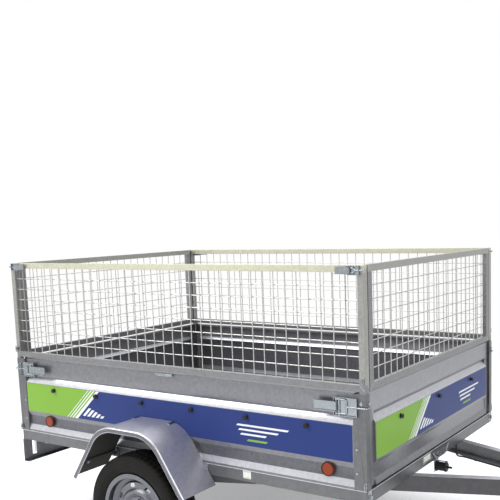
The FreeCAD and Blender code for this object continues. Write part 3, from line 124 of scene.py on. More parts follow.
# One pattern drives both the colour and the gloss of a surface: the colour runs over a part of
# the way between the tones, and the gloss follows a part of the pattern
def tint(tree, shader, pattern, tones, gloss, colourPart=(0, 1), glossPart=(0, 1)):
    share = addNode(tree, "MapRange", {"Value": pattern, "To Min": colourPart[0], "To Max": colourPart[1]})
    colour = addNode(tree, "Mix", {0: share, 6: linear(tones[0]), 7: linear(tones[1])}, 2,
                     shader["Base Color"], data_type="RGBA")
    addNode(tree, "MapRange", {"Value": pattern, "From Min": glossPart[0], "From Max": glossPart[1],
                               "To Min": gloss[0], "To Max": gloss[1]}, feeds=shader["Roughness"])
    return colour


# Galvanised steel: dipped in molten zinc, which sets in crystals (spangle) and dulls to a soft
# blue grey. The eye gets patches of slightly different grey and gloss, with faint rolling lines.
# Each has a name, its tones, the spangle in metres, the gloss and the lines along x, y and z,
# and where they differ, the share of the blotches and the metal.
galvanisedSteel = {
    # the panels' spangle is drawn a little coarser than the real 5 to 8 mm, so that it shows
    "sheet": ("galvanisedSheet", "#727276", "#88888C", 0.012, (0.28, 0.40), (2, 60, 60)),
    "guard": ("galvanisedGuard", "#A5A5B0", "#BBBBC6", 0.012, (0.36, 0.46), (5, 5, 5)),
    # hot dipped after welding: duller, blotchy, with a coarser bloom
    "frame": ("galvanisedFrame", "#5F5F61", "#7C7C7E", 0.02, (0.34, 0.50), (8, 8, 8), 0.65),
    # painted shade: a darker copy of the frame for the drawbar arms, whose sides lie in shade
    "arm": ("galvanisedArm", "#434244", "#5E5D60", 0.02, (0.34, 0.50), (8, 8, 8), 0.65),
    "bars": ("galvanisedBars", "#767678", "#8F8F91", 0.008, (0.30, 0.44), (20, 20, 20)),
    "post": ("galvanisedPost", "#8E8E8B", "#A7A7A2", 0.008, (0.30, 0.44), (20, 20, 20)),
    # painted reflection: the side mesh's top rails get a pale, slightly yellow copy of the bars
    "topRail": ("galvanisedTopRail", "#B2B19B", "#CDCCB8", 0.008, (0.34, 0.5), (20, 20, 20)),
    # drawn wire takes the brightest coat, with hardly any spangle
    "wire": ("galvanisedWire", "#AFB0AD", "#D2D2CE", 0.004, (0.24, 0.36), (60, 60, 60)),
    # painted highlight: a bright copy of the sheet for bends, edges and beads that catch the light
    "bend": ("burnishedBend", "#B7B8BD", "#D1D2D6", 0.012, (0.34, 0.46), (2, 60, 60), 0.35, 0.8),
    # painted highlight: a lighter copy of the sheet for upward folds and the arms' tops
    "fold": ("burnishedFold", "#ADAEB3", "#C7C8CD", 0.012, (0.34, 0.46), (2, 60, 60)),
    # painted shade: a darker copy of the sheet for the skirt under the ledge
    "skirt": ("dullSkirt", "#57585D", "#6F7075", 0.012, (0.34, 0.46), (2, 60, 60)),
    # painted light: a paler copy of the sheet for the gates' upper band
    "pale": ("paleBand", "#84858A", "#9A9BA0", 0.012, (0.26, 0.36), (60, 2, 60)),
    # painted shade on the mudguards' lip; the same grey prints the sticker's line
    "lip": ("dullLip", "#5C5C61", "#7A7A80", 0.006, (0.34, 0.46), (60, 60, 60)),
    "seam": ("zincRichSeam", "#A0A2A5", "#C0C2C5", 0.006, (0.40, 0.56), (40, 40, 40), 0.7),
}


def galvanised(name, dark, pale, spangle, gloss, lines, blotch=0.35, metal=0.72):
    material, tree, shader, spot = newMaterial(name, {"Metallic": metal})
    crystals = addNode(tree, "TexVoronoi", {"Vector": spot, "Scale": 1 / spangle}, "Color")
    tone = addNode(tree, "SeparateColor", {0: crystals})
    clouds = addNode(tree, "TexNoise", {"Vector": spot, "Scale": 9.0, "Detail": 4.0, "Roughness": 0.6})
    softClouds = addNode(tree, "MapRange", {"Value": clouds, "To Min": 0.3, "To Max": 0.7})
    stretched = addNode(tree, "Mapping", {"Vector": spot, "Scale": lines})
    rolling = addNode(tree, "TexNoise", {"Vector": stretched, "Scale": 1.0, "Detail": 3.0})
    mixed = addNode(tree, "Mix", {0: blotch, 2: tone, 3: softClouds})
    streaked = addNode(tree, "Mix", {0: 0.3, 2: mixed, 3: rolling})
    tint(tree, shader, streaked, (dark, pale), gloss)
    addNode(tree, "Bump", {"Height": streaked, "Strength": 0.12, "Distance": 0.0005},
            feeds=shader["Normal"])
    return material


# Other coats: the first texture gives the colour and the gloss, the last one the relief
noise, cells = "TexNoise", "TexVoronoi"
coats = {
    # Zinc plating from an electroplating bath: bright, slightly blue, with soft tumbling marks
    "zinc": {
        "name": "zincPlate", "surface": {"Metallic": 1.0}, "tones": ("#868C91", "#ADB3B7"),
        "textures": [(noise, 0, {"Scale": 60.0, "Detail": 3.0})],
        "gloss": (0.16, 0.28), "glossPart": (0.3, 0.7),
    },
    # Near black painted shade for the mudguards' insides and their stays: brown black and matt, with a coarse stipple
    # of 4 mm
    "guardShade": {
        "name": "guardShadeBlack", "surface": {"IOR": 1.5}, "tones": ("#211F1D", "#3A3733"),
        "textures": [(noise, 0, {"Scale": 8.0, "Detail": 5.0}),
                     (noise, 0, {"Scale": 1 / 0.004, "Detail": 3.0})],
        "gloss": (0.6, 0.85), "relief": (0.5, 0.0008),
    },
    # Glass-filled polyamide, injection moulded: soft black with a spark-eroded grain of 0.8 mm
    "black": {
        "name": "mouldedPolyamide", "surface": {"IOR": 1.53, "Specular IOR Level": 0.3},
        "textures": [(noise, 0, {"Scale": 30.0}), (cells, "Distance", {"Scale": 1 / 0.0008})],
        "tones": ("#0A0B0C", "#17181A"), "gloss": (0.42, 0.58), "relief": (0.4, 0.0002),
    },
    # Vulcanised tyre rubber: charcoal, matt, a little paler where dust sits
    "rubber": {
        "name": "tyreRubber", "surface": {"IOR": 1.52, "Specular IOR Level": 0.2},
        "textures": [(noise, 0, {"Scale": 22.0, "Detail": 6.0, "Roughness": 0.7})],
        "tones": ("#0C0B0A", "#1B1917"), "gloss": (0.62, 0.86), "colourPart": (0.42, 0.72),
        "relief": (0.3, 0.0008),
    },
}

# Acrylic reflector or lamp lens, moulded with prisms inside that break up the colour:
# its bright and deep tone, and the prisms' size in metres
lenses = {
    "amber": ("amberAcrylic", "#A63E0D", "#4A1503", 0.007),
    "orange": ("orangeAcrylic", "#E0740F", "#8E3E05", 0.006),
    "red": ("redAcrylic", "#A81218", "#5A0508", 0.006),
    "clear": ("clearAcrylic", "#D8DCDD", "#8F9698", 0.006),
}
for finish, (name, bright, deep, prism) in lenses.items():
    coats[finish] = {
        "name": name, "tones": (bright, deep),
        "surface": {"IOR": 1.49, "Specular IOR Level": 0.25, "Coat Weight": 0.15, "Coat Roughness": 0.08},
        "textures": [(cells, "Distance", {"Scale": 1 / prism, "Randomness": 0.0})],
        "gloss": (0.24, 0.32), "colourPart": (0.15, 0.7), "relief": (0.5, 0.001),
    }

# Printed vinyl film with a clear layer over the ink: even colour, soft gloss, faint waviness
vinyls = {
    "blue": ("blueVinyl", "#2B3A74", "#31427F"),
    "green": ("greenVinyl", "#7AA83C", "#88B349"),
    "white": ("whiteVinyl", "#E4E6E8", "#F3F4F5"),
    "label": ("paperLabel", "#DEE2DA", "#EEF0EB"),
}
for finish, (name, *tones) in vinyls.items():
    coats[finish] = {
        "name": name, "tones": tones, "surface": {"IOR": 1.5, "Specular IOR Level": 0.15},
        "textures": [(noise, 0, {"Scale": 3.0, "Detail": 3.0})],
        "gloss": (0.30, 0.44), "colourPart": (0.35, 0.65), "relief": (0.15, 0.002),
    }


def coated(name, surface, textures, tones, gloss, colourPart=(0, 1), glossPart=(0, 1), relief=None):
    material, tree, shader, spot = newMaterial(name, surface)
    made = [addNode(tree, kind, {"Vector": spot, **values}, output) for kind, output, values in textures]
    tint(tree, shader, made[0], tones, gloss, colourPart, glossPart)
    if relief:
        addNode(tree, "Bump", {"Height": made[-1], "Strength": relief[0], "Distance": relief[1]},
                feeds=shader["Normal"])
    return material


# Birch plywood under a phenolic film pressed on hot: near black, glossy, with light scuffs
def filmFacedPly():
    material, tree, shader, spot = newMaterial("filmFacedPly", {"IOR": 1.55})
    cloud = addNode(tree, noise, {"Vector": spot, "Scale": 5.0, "Detail": 6.0, "Roughness": 0.65})
    dragged = addNode(tree, "Mapping", {"Vector": spot, "Scale": (12, 150, 150)})
    scuffs = addNode(tree, noise, {"Vector": dragged, "Scale": 1.0, "Detail": 5.0})
    scuffed = addNode(tree, "MapRange", {"Value": scuffs, "To Min": 0.55, "To Max": 0.75})
    base = tint(tree, shader, cloud, ("#35333D", "#45434E"), (0.14, 0.34), glossPart=(0.3, 0.7))
    addNode(tree, "Mix", {0: scuffed, 6: base, 7: linear("#5E5C66")}, 2, shader["Base Color"],
            data_type="RGBA")
    addNode(tree, "Bump", {"Height": cloud, "Strength": 0.3, "Distance": 0.002}, feeds=shader["Normal"])
    return material


# Silver wheel lacquer: aluminium flakes of 1.5 mm in clear coat over steel, sprayed and drawn
# coarser than real ones so that they show
def silverLacquer():
    material, tree, shader, spot = newMaterial("silverLacquer", {"Metallic": 0.85, "Coat Weight": 0.5,
                                                                 "Coat Roughness": 0.12})
    flakes = addNode(tree, cells, {"Vector": spot, "Scale": 1 / 0.0015}, "Color")
    tone = addNode(tree, "SeparateColor", {0: flakes})
    cloud = addNode(tree, noise, {"Vector": spot, "Scale": 14.0, "Detail": 3.0})
    mixed = addNode(tree, "Mix", {0: 0.6, 2: tone, 3: cloud})
    tint(tree, shader, mixed, ("#505157", "#74757B"), (0.30, 0.42))
    return material


def makeMaterials():
    made = {finish: galvanised(*values) for finish, values in galvanisedSteel.items()}
    made.update({finish: coated(**values) for finish, values in coats.items()})
    made["floor"] = filmFacedPly()
    made["rim"] = silverLacquer()
    print("materials:", len(made))
    return made


# Which finish the nodes of each material slot get, and the nodes that differ from their slot
slotFinishes = {
    "galvanised": "sheet", "galvanised_frame": "frame", "galvanised_mesh": "bars",
    "floor_board": "floor", "zinc_fittings": "zinc", "black_plastic": "black",
    "silver_wheel": "rim", "tyre_rubber": "rubber", "amber_reflector": "amber",
    "red_lens": "red", "tag_plate": "label",
}
nodeFinishes = {
    # the mudguard stays take the near black painted shade
    "mudguards": "guard", "socket_bracket": "guard", "mudguard_stays": "guardShade",
    # the drawbar arms take the darker copy of the frame, painted shade
    "corner_posts": "frame", "drawbar_arms": "arm",
}


def finishNodes():
    for part in frame["record"]["subparts"]:
        slots = nodes[part["node"]].data.materials
        slots.clear()
        slots.append(finishes[nodeFinishes.get(part["node"], slotFinishes[part["material_slot"]])])


# Paints the faces of a node for which choose names one of the extra finishes
def paintFaces(name, extra, choose):
    data = nodes[name].data
    for finish in extra:
        data.materials.append(finishes[finish])
    for face in data.polygons:
        finish = choose(face)
        if finish in extra:
            face.material_index = extra.index(finish) + 1


# The welded mesh has grey bars and bright wires, and its top rails and posts are paler: on the side mesh the top
# rails carry a painted reflection
meshBars = {
    "postReach": 0.0846,      # how far the posts and their pins reach in from the ends
    "topRail": 1.3375,        # height of the top rail's foot
    "lowRail": 0.9105,        # height of the low rail's top
    "postHeight": 0.3,        # a face taller than this belongs to a post
}


def finishMesh(name, along, topFinish, postFinish):
    low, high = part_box(name)
    spots = [vertex.co for vertex in nodes[name].data.vertices]

    def choose(face):
        levels = [spots[corner].z for corner in face.vertices]
        reaches = [spots[corner][along] for corner in face.vertices]
        inPost = (max(reaches) < low[along] + meshBars["postReach"]
                  or min(reaches) > high[along] - meshBars["postReach"])
        onLowRail = max(levels) < meshBars["lowRail"]
        if min(levels) > meshBars["topRail"]:
            return topFinish
        # the low rail's upward faces take the paler post finish, a painted highlight
        if inPost and max(levels) - min(levels) > meshBars["postHeight"] or onLowRail and face.normal.z > 0.9:
            return postFinish
        return None if inPost or onLowRail else "wire"

    paintFaces(name, [topFinish, "wire", postFinish], choose)


# The folds that face up get painted highlights, the skirt under the film painted shade and the gates' upper band
# painted light:
# foot and top of each fold, whether it shows outside, and its finish on the sides and the gates
panelFolds = (
    (0.7525, 0.7785, True, "bend", "fold"),
    (0.5055, 0.5305, True, "fold", "sheet"),
    (0.5305, 0.5800, True, "skirt", "sheet"),
    (0.7970, 0.8750, True, "sheet", "pale"),
    (0.7800, 0.7965, False, "bend", "bend"),
    (0.5800, 0.6000, False, "fold", "fold"),
)
panelReach = 0.024        # how far behind the outer face a fold lies at most


def finishPanels(name, across):
    low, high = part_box(name)
    isSide = name == "side_panels"

    def choose(face):
        middle, normal = face.center, face.normal
        isHigh = middle[across] > 0 if isSide else name == "front_gate"
        outer = high[across] if isHigh else low[across]
        outward = normal[across] * (1 if isHigh else -1)
        if abs(middle[across] - outer) > panelReach or abs(normal.z) > 0.98:
            return None
        for foot, top, outside, sideFinish, gateFinish in panelFolds:
            facesRight = outward > 0.2 if outside else outward < -0.2 and normal.z > 0.2
            if foot < middle.z < top and facesRight:
                return sideFinish if isSide else gateFinish
        return None

    paintFaces(name, ["bend", "fold", "skirt", "pale"], choose)


# The mudguards get near black painted shade inside, painted shade on their lip and a painted highlight on the bend
# above it:
# how far each reaches in from the outer edge
guardFaces = {"inside": 0.020, "lip": 0.004, "bend": 0.012}


def finishMudguards():
    low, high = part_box("mudguards")
    middle = (low.x + high.x) / 2

    def choose(face):
        centre, normal = face.center, face.normal
        away = Vector((centre.x - middle, 0, centre.z - low.z)).normalized()
        outward = normal.y * math.copysign(1, centre.y)
        fromEdge = high.y - abs(centre.y)
        if normal.dot(away) < -0.1 or outward < -0.8 and fromEdge < guardFaces["inside"]:
            return "guardShade"
        if outward > 0.93 and fromEdge < guardFaces["lip"]:
            return "lip"
        return "bend" if outward > 0.25 and fromEdge < guardFaces["bend"] else None

    paintFaces("mudguards", ["guardShade", "lip", "bend"], choose)


# The drawbar arms get a brighter finish on top, a painted highlight, and a paler one on their inner sides, painted
# light in their shade
def finishArms():
    def choose(face):
        if face.normal.z > 0.9:
            return "fold"
        return "bars" if face.normal.y * math.copysign(1, face.center.y) < -0.7 else None

    paintFaces("drawbar_arms", ["fold", "bars"], choose)


# The round reflectors stand on black feet
reflectorFace = {"edge": 0.003, "depth": 0.001}


def finishReflectors():
    low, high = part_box("side_reflectors")
    radius, level = (high.z - low.z) / 2, (high.z + low.z) / 2

    def choose(face):
        middle = face.center
        aside = min(abs(middle.x - (low.x + radius)), abs(middle.x - (high.x - radius)))
        inside = math.hypot(aside, middle.z - level) < radius - reflectorFace["edge"]
        return "black" if inside and abs(middle.y) < high.y - reflectorFace["depth"] else None

    paintFaces("side_reflectors", ["black"], choose)


def finishFaces():
    finishMesh("side_mesh", 0, "topRail", "post")
    finishMesh("front_mesh_gate", 1, "post", "bars")
    finishMesh("rear_mesh_gate", 1, "post", "bars")
    finishReflectors()
    finishArms()
    finishMudguards()
    for name, across in (("side_panels", 1), ("front_gate", 0), ("rear_gate", 0)):
        finishPanels(name, across)


# Folded and rolled edges of the real steel, as a small round on the sharp solids
softEdges = {
    0.0026: ["side_rails", "nose_tube", "axle_beam"],
    0.0012: ["drawbar_arms", "cross_members", "side_mesh", "front_mesh_gate", "rear_mesh_gate"],
    0.0008: ["side_panels", "front_gate", "rear_gate", "corner_posts", "rear_light_bar",
             "drawbar_plates", "mudguard_stays", "socket_bracket", "floor_panel", "jack_fork"],
    0.0004: ["front_tag", "body_latches", "mesh_latches"],
}


def roundEdges(item, name, width):
    bevel = item.modifiers.new(name, "BEVEL")
    bevel.width = width
    bevel.segments = 2
    bevel.limit_method = "ANGLE"
    bevel.angle_limit = math.radians(40)


def softenEdges():
    for width, names in softEdges.items():
        for name in names:
            item = nodes[name]
            item.data.shade_smooth()
            weld = item.modifiers.new("closeSeams", "WELD")
            weld.merge_threshold = 0.00002
            roundEdges(item, "rolledEdges", width)
            even = item.modifiers.new("evenShading", "WEIGHTED_NORMAL")
            even.keep_sharp = False


# Studio: a pale floor that fades into white, soft boxes and an even sky
studio = {
    "skyColour": "#F4F7FA",
    "sky": 0.55,
    "floorColour": "#F2F3F4",
    "floorHalf": 60.0,
    "floorLift": 0.30,     # pale glow of the floor where the camera sees it, which leaves the shadow
    "fadeStart": 2.4,      # metres from the middle where the floor starts to turn white
    "fadeEnd": 6.0,
}
softBoxes = {
    "key": {"place": (5.2, -2.9, 4.0), "target": (0.3, -0.1, 0.6), "size": 2.6, "watts": 135},
    "low": {"place": (-4.6, -5.6, 1.9), "target": (-0.4, -0.6, 0.8), "size": 2.2, "watts": 18},
    "side": {"place": (-3.0, -3.0, 4.2), "target": (-0.4, -0.3, 0.7), "size": 3.2, "watts": 190},
    "top": {"place": (-0.6, 1.6, 5.2), "target": (-0.3, 0.0, 0.5), "size": 3.2, "watts": 150},
}
white = (1, 1, 1, 1)


def seenRays(tree):
    rays = addNode(tree, "LightPath").node.outputs
    both = addNode(tree, "Math", {0: rays["Is Camera Ray"], 1: rays["Is Glossy Ray"]}, operation="MAXIMUM")
    return addNode(tree, "Math", {0: both, 1: rays["Is Transmission Ray"]}, operation="MAXIMUM")


def makeSky():
    world = bpy.data.worlds.new("studioSky")
    bpy.context.scene.world = world
    tree = emptyTree(world)
    light = addNode(tree, "Background", {"Color": linear(studio["skyColour"]), "Strength": studio["sky"]})
    plain = addNode(tree, "Background", {"Color": white, "Strength": 1.0})
    mixed = addNode(tree, "MixShader", {0: seenRays(tree), 1: light, 2: plain})
    addNode(tree, "OutputWorld", {"Surface": mixed})


def makeFloor():
    material = bpy.data.materials.new("paleFloor")
    tree = emptyTree(material)
    paint = addNode(tree, "BsdfDiffuse", {"Color": linear(studio["floorColour"])})
    glow = addNode(tree, "Emission", {"Color": white, "Strength": 1.0})
    spot = addNode(tree, "TexCoord", output="Object")
    away = addNode(tree, "VectorMath", {0: spot}, "Value", operation="LENGTH")
    fade = addNode(tree, "MapRange", {"Value": away, "From Min": studio["fadeStart"],
                                      "From Max": studio["fadeEnd"]}, interpolation_type="SMOOTHSTEP")
    factor = addNode(tree, "Math", {0: fade, 1: seenRays(tree)}, operation="MULTIPLY")
    lift = addNode(tree, "Math", {0: studio["floorLift"], 1: seenRays(tree)}, operation="MULTIPLY")
    lifted = addNode(tree, "Emission", {"Color": white, "Strength": lift})
    pale = addNode(tree, "AddShader", {0: paint, 1: lifted})
    mixed = addNode(tree, "MixShader", {0: factor, 1: pale, 2: glow})
    addNode(tree, "OutputMaterial", {"Surface": mixed})
    half = studio["floorHalf"]
    data = bpy.data.meshes.new("floor")
    data.from_pydata([(-half, -half, 0), (half, -half, 0), (half, half, 0), (-half, half, 0)], [],
                     [(0, 1, 2, 3)])
    data.materials.append(material)
    addObject("floor", data)


def makeLamps():
    for name, box in softBoxes.items():
        lamp = bpy.data.lights.new(name, "AREA")
        lamp.size = box["size"]
        lamp.energy = box["watts"]
        item = addObject(name, lamp)
        item.location = box["place"]
        aimed = Vector(box["target"]) - Vector(box["place"])
        item.rotation_euler = aimed.to_track_quat("-Z", "Y").to_euler()
    bpy.context.scene.view_settings.view_transform = "Standard"
    print("studio: sky, floor and", len(softBoxes), "soft boxes")


# Mesh building
def aim(centre, direction, turn=0.0):
    heading = Vector(direction).normalized().to_track_quat("Z", "Y").to_matrix().to_4x4()
    return Matrix.Translation(centre) @ heading @ Matrix.Rotation(turn, 4, "Z")


def circle(sides):
    angles = [2 * math.pi * step / sides for step in range(sides)]
    return [(math.cos(angle), math.sin(angle)) for angle in angles]


# The rings' ends stay open, are joined to each other or are capped
def joinRings(mesh, rings, material, ends):
    pairs = list(zip(rings, rings[1:]))
    if ends == "joined":
        pairs.append((rings[-1], rings[0]))
    for low, high in pairs:
        sides = max(len(low), len(high))
        for step in range(sides):
            after = (step + 1) % sides
            corners = [low[step % len(low)], low[after % len(low)],
                       high[after % len(high)], high[step % len(high)]]
            corners = list(dict.fromkeys(corners))
            if len(corners) > 2:
                mesh.faces.new(corners).material_index = material
    if ends == "capped":
        mesh.faces.new(list(reversed(rings[0]))).material_index = material
        mesh.faces.new(rings[-1]).material_index = material


def addLathe(mesh, profile, place, sides=24, material=0, ends="open"):
    rings = []
    for radius, height in profile:
        spots = circle(sides if radius > 0 else 1)
        rings.append([mesh.verts.new(place @ Vector((radius * x, radius * y, height))) for x, y in spots])
    joinRings(mesh, rings, material, ends)


def addPrism(mesh, outline, place, depth, material=0, chamfer=0.0):
    middle = sum((Vector(spot) for spot in outline), Vector((0, 0))) / len(outline)
    levels = [(0.0, 0.0), (depth - chamfer, 0.0)]
    if chamfer:
        levels.append((depth, chamfer))
    rings = []
    for height, inset in levels:
        ring = []
        for spot in outline:
            away = Vector(spot) - middle
            shrunk = middle + away * (1 - inset / max(away.length, inset * 2))
            ring.append(mesh.verts.new(place @ Vector((shrunk.x, shrunk.y, height))))
        rings.append(ring)
    joinRings(mesh, rings, material, "capped")


def addTube(mesh, points, radii, sides=8, material=0):
    points = [Vector(point) for point in points]
    if not isinstance(radii, (list, tuple)):
        radii = [radii] * len(points)
    across = None
    rings = []
    for index, point in enumerate(points):
        ahead = points[min(index + 1, len(points) - 1)] - points[max(index - 1, 0)]
        ahead.normalize()
        if across is None:
            across = ahead.orthogonal().normalized()
        across = (across - ahead * across.dot(ahead)).normalized()
        other = ahead.cross(across)
        rings.append([mesh.verts.new(point + (across * x + other * y) * radii[index])
                      for x, y in circle(sides)])
    joinRings(mesh, rings, material, "capped")


def addBox(mesh, corners, material=0):
    low, high = zip(*(sorted(pair) for pair in zip(*corners)))
    outline = [(low[0], low[1]), (high[0], low[1]), (high[0], high[1]), (low[0], high[1])]
    addPrism(mesh, outline, Matrix.Translation((0, 0, low[2])), high[2] - low[2], material)


def roundedOutline(width, height, radius, steps=4):
    outline = []
    for sign, start in (((1, 1), 0), ((-1, 1), 90), ((-1, -1), 180), ((1, -1), 270)):
        middle = Vector((sign[0] * (width / 2 - radius), sign[1] * (height / 2 - radius)))
        for step in range(steps + 1):
            angle = math.radians(start + 90 * step / steps)
            outline.append(middle + Vector((math.cos(angle), math.sin(angle))) * radius)
    return outline


# Makes the mesh a piece that rides on a body, with sharp edges above an angle in degrees
def addPiece(name, mesh, body, slot, materials, replaced=(), sharp=35, rounded=0):
    bmesh.ops.recalc_face_normals(mesh, faces=mesh.faces)
    for face in mesh.faces:
        face.smooth = True
    for edge in mesh.edges:
        if len(edge.link_faces) == 2 and edge.calc_face_angle(0) > math.radians(sharp):
            edge.smooth = False
    data = bpy.data.meshes.new(name)
    mesh.to_mesh(data)
    mesh.free()
    for material in materials:
        data.materials.append(finishes[material])
    piece = addObject(name, data)
    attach(piece, body)
    if replaced:
        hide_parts(*replaced)
    if rounded:
        roundEdges(piece, "brokenEdges", rounded)


# The film on each panel: a green field at the viewer's left, a slanted white band, then blue.
# Stripes and bars: start and width in metres, foot and top in heights of the film, material.
film = {
    "thickness": 0.0003,
    "proud": 0.0001,
    "level": (0.6025, 0.7500),     # heights of its foot and top
    "endGap": 0.005,
    "gateHalf": 0.621,
    "corner": 0.006,
    "cornerCut": 0.0018,
    "greenLength": 0.36,           # along the foot
    "slant": 0.16,                 # how far the band leans over the film's height
    "stripes": (                   # from the green's end: the band, thinner lines and short ticks
        (-0.010, 0.020, 0.0, 1.0, 2), (-0.030, 0.0084, 0.0, 1.0, 2), (-0.048, 0.0064, 0.0, 1.0, 2),
        (-0.066, 0.0044, 0.0, 1.0, 2), (0.028, 0.018, 0.12, 0.40, 2), (0.058, 0.018, 0.12, 0.35, 2),
        (0.088, 0.018, 0.12, 0.30, 2), (0.118, 0.018, 0.12, 0.25, 2), (0.148, 0.018, 0.12, 0.20, 2),
    ),
    "bars": ((0.0, 0.26, 0.565, 0.62, 2), (0.03, 0.20, 0.435, 0.49, 2), (0.06, 0.13, 0.305, 0.36, 2),
             (0.12, 0.10, 0.14, 0.20, 0)),
    "barStart": {"trailer": 0.66, "gate": 0.62},      # share of the film's length
}


def makeFilm(name, body, length, place):
    mesh = bmesh.new()
    tall = film["level"][1] - film["level"][0]
    green, lean, thick = film["greenLength"], film["slant"], film["thickness"]
    corner, cut = film["corner"], film["cornerCut"]
    left = [(0, corner), (cut, cut), (corner, 0), (green, 0), (green + lean, tall), (corner, tall),
            (cut, tall - cut), (0, tall - corner)]
    right = [(green, 0), (length - corner, 0), (length - cut, cut), (length, corner),
             (length, tall - corner), (length - cut, tall - cut), (length - corner, tall),
             (green + lean, tall)]
    addPrism(mesh, left, place, thick, 0)
    addPrism(mesh, right, place, thick, 1)
    lifted = place @ Matrix.Translation((0, 0, thick))
    bars = length * film["barStart"]["trailer" if body == "trailer" else "gate"]
    for origin, stripes in ((green, film["stripes"]), (bars, film["bars"])):
        for start, wide, low, high, material in stripes:
            foot, top = origin + start + lean * low, origin + start + lean * high
            outline = [(foot, low * tall), (foot + wide, low * tall), (top + wide, high * tall),
                       (top, high * tall)]
            addPrism(mesh, outline, lifted, thick, material)
    addPiece(name, mesh, body, "black_plastic", ["green", "blue", "white"])


# Each film runs from the viewer's left to the right
def makeFilms():
    low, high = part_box("side_panels")
    foot, gap, half, proud = film["level"][0], film["endGap"], film["gateHalf"], film["proud"]
    start, end, side = low.x + gap, high.x - gap, proud - low.y
    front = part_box("front_gate_buttons")[0].x + proud
    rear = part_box("rear_gate_buttons")[1].x - proud
    placed = {         # body, left end, direction and outward
        "filmRight": ("trailer", (start, -side, foot), (1, 0, 0), (0, -1, 0)),
        "filmLeft": ("trailer", (end, side, foot), (-1, 0, 0), (0, 1, 0)),
        "filmFront": ("front_gate", (front, -half, foot), (0, 1, 0), (1, 0, 0)),
        "filmRear": ("rear_gate", (rear, half, foot), (0, -1, 0), (-1, 0, 0)),
    }
    for name, (body, corner, along, outward) in placed.items():
        place = Matrix((along, (0, 0, 1), outward)).transposed().to_4x4()
        length = end - start if body == "trailer" else half * 2
        makeFilm(name, body, length, Matrix.Translation(corner) @ place)
    print("films on the panels:", len(placed))


# Road tyre: carcass profile and a tread of ribs, grooves and slanted sipes
tyre = {
    "radius": 0.2668,
    "bead": (0.0525, 0.1655),      # half width and radius at the rim
    "treadHalf": 0.0545,
    "treadDrop": 0.0036,
    "grooves": (-0.036, -0.0135, 0.0135, 0.036),
    "grooveWidth": 0.0065,
    "grooveDepth": 0.0070,
    "grooveWall": (0.0004, 0.0008),          # a pair of columns stands at each wall of a groove
    "ribs": (-0.046, -0.025, 0.0, 0.025, 0.046),
    "cutRib": (0.025, 0.012),                # the ribs at this distance have sipes, this far each way
    "shoulder": (0.039, 0.053, 0.2575),      # half widths of its start and its edge, lowest radius
    "pitches": 62,
    "steps": (0.0, 0.10, 0.13, 0.25, 0.28, 0.45, 0.64, 0.82),      # of one pitch
    "cutSteps": (2, 3),
    "sipeDepth": 0.0055,
    "shoulderSlot": 0.0012,
    "lean": 0.35,                            # of a pitch, from the middle to the tread's edge
    "stagger": 0.5,                          # of a pitch, between the two halves
    # the side from the tread's edge inwards: shoulder, sidewall with two ribs and the lip
    "wall": ((0.0600, 0.2615), (0.0655, 0.2580), (0.0690, 0.2520), (0.0702, 0.2505), (0.0690, 0.2490),
             (0.0712, 0.2420), (0.0720, 0.2330), (0.0722, 0.2250), (0.0716, 0.2160), (0.0722, 0.2150),
             (0.0722, 0.2135), (0.0708, 0.2122), (0.0690, 0.2050), (0.0660, 0.1980), (0.0640, 0.1945),
             (0.0646, 0.1925), (0.0625, 0.1895), (0.0580, 0.1860), (0.0530, 0.1838)),
}


# Ribs are cut by one slanted sipe in each pitch, the shoulders by a wider slot
def tyreDepth(across, radius, isTread, isCut):
    start, edge, lowest = tyre["shoulder"]
    if not isTread:
        return tyre["shoulderSlot"] if radius > lowest and isCut else 0.0
    rib, reach = tyre["cutRib"]
    depth = 0.0
    if any(abs(across - groove) < tyre["grooveWidth"] / 2 for groove in tyre["grooves"]):
        depth = tyre["grooveDepth"]
    elif isCut and (abs(across) > start or abs(abs(across) - rib) < reach):
        depth = tyre["sipeDepth"]
    return min(depth, tyre["shoulderSlot"]) if abs(across) > edge else depth


def makeTyre(side):
    name = f"tyre_{side}"
    low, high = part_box(name)
    centre = (low + high) / 2
    hand = -1 if side == "right" else 1
    tread = [-tyre["treadHalf"], tyre["treadHalf"], *tyre["ribs"]]
    for groove in tyre["grooves"]:
        reach = tyre["grooveWidth"] / 2
        outside, inside = tyre["grooveWall"]
        tread += [groove - reach - outside, groove - reach + inside, groove + reach - inside,
                  groove + reach + outside]
    columns = [(across, radius, False) for across, radius in (tyre["bead"], *reversed(tyre["wall"]))]
    columns = [(-across, radius, False) for across, radius, isTread in columns]
    for across in sorted(tread):
        drop = tyre["treadDrop"] * (across / tyre["treadHalf"]) ** 2
        columns.append((across, tyre["radius"] - drop, True))
    columns += [(across, radius, False) for across, radius in (*tyre["wall"], tyre["bead"])]
    mesh = bmesh.new()
    rings = []
    for pitch in range(tyre["pitches"]):
        for step, fraction in enumerate(tyre["steps"]):
            ring = []
            for across, radius, isTread in columns:
                lean = tyre["lean"] * (abs(across) / tyre["treadHalf"] if isTread else 1)
                lean += tyre["stagger"] if across > 0 else 0.0
                angle = 2 * math.pi * (pitch + fraction + lean) / tyre["pitches"]
                reach = radius - tyreDepth(across, radius, isTread, step in tyre["cutSteps"])
                ring.append(mesh.verts.new((centre.x + reach * math.sin(angle), centre.y + across * hand,
                                            centre.z + reach * math.cos(angle))))
            rings.append(ring)
    joinRings(mesh, rings, 0, "joined")
    addPiece(f"roadTyre{side.capitalize()}", mesh, f"wheel_{side}", "tyre_rubber", ["rubber"],
             [name], sharp=32)


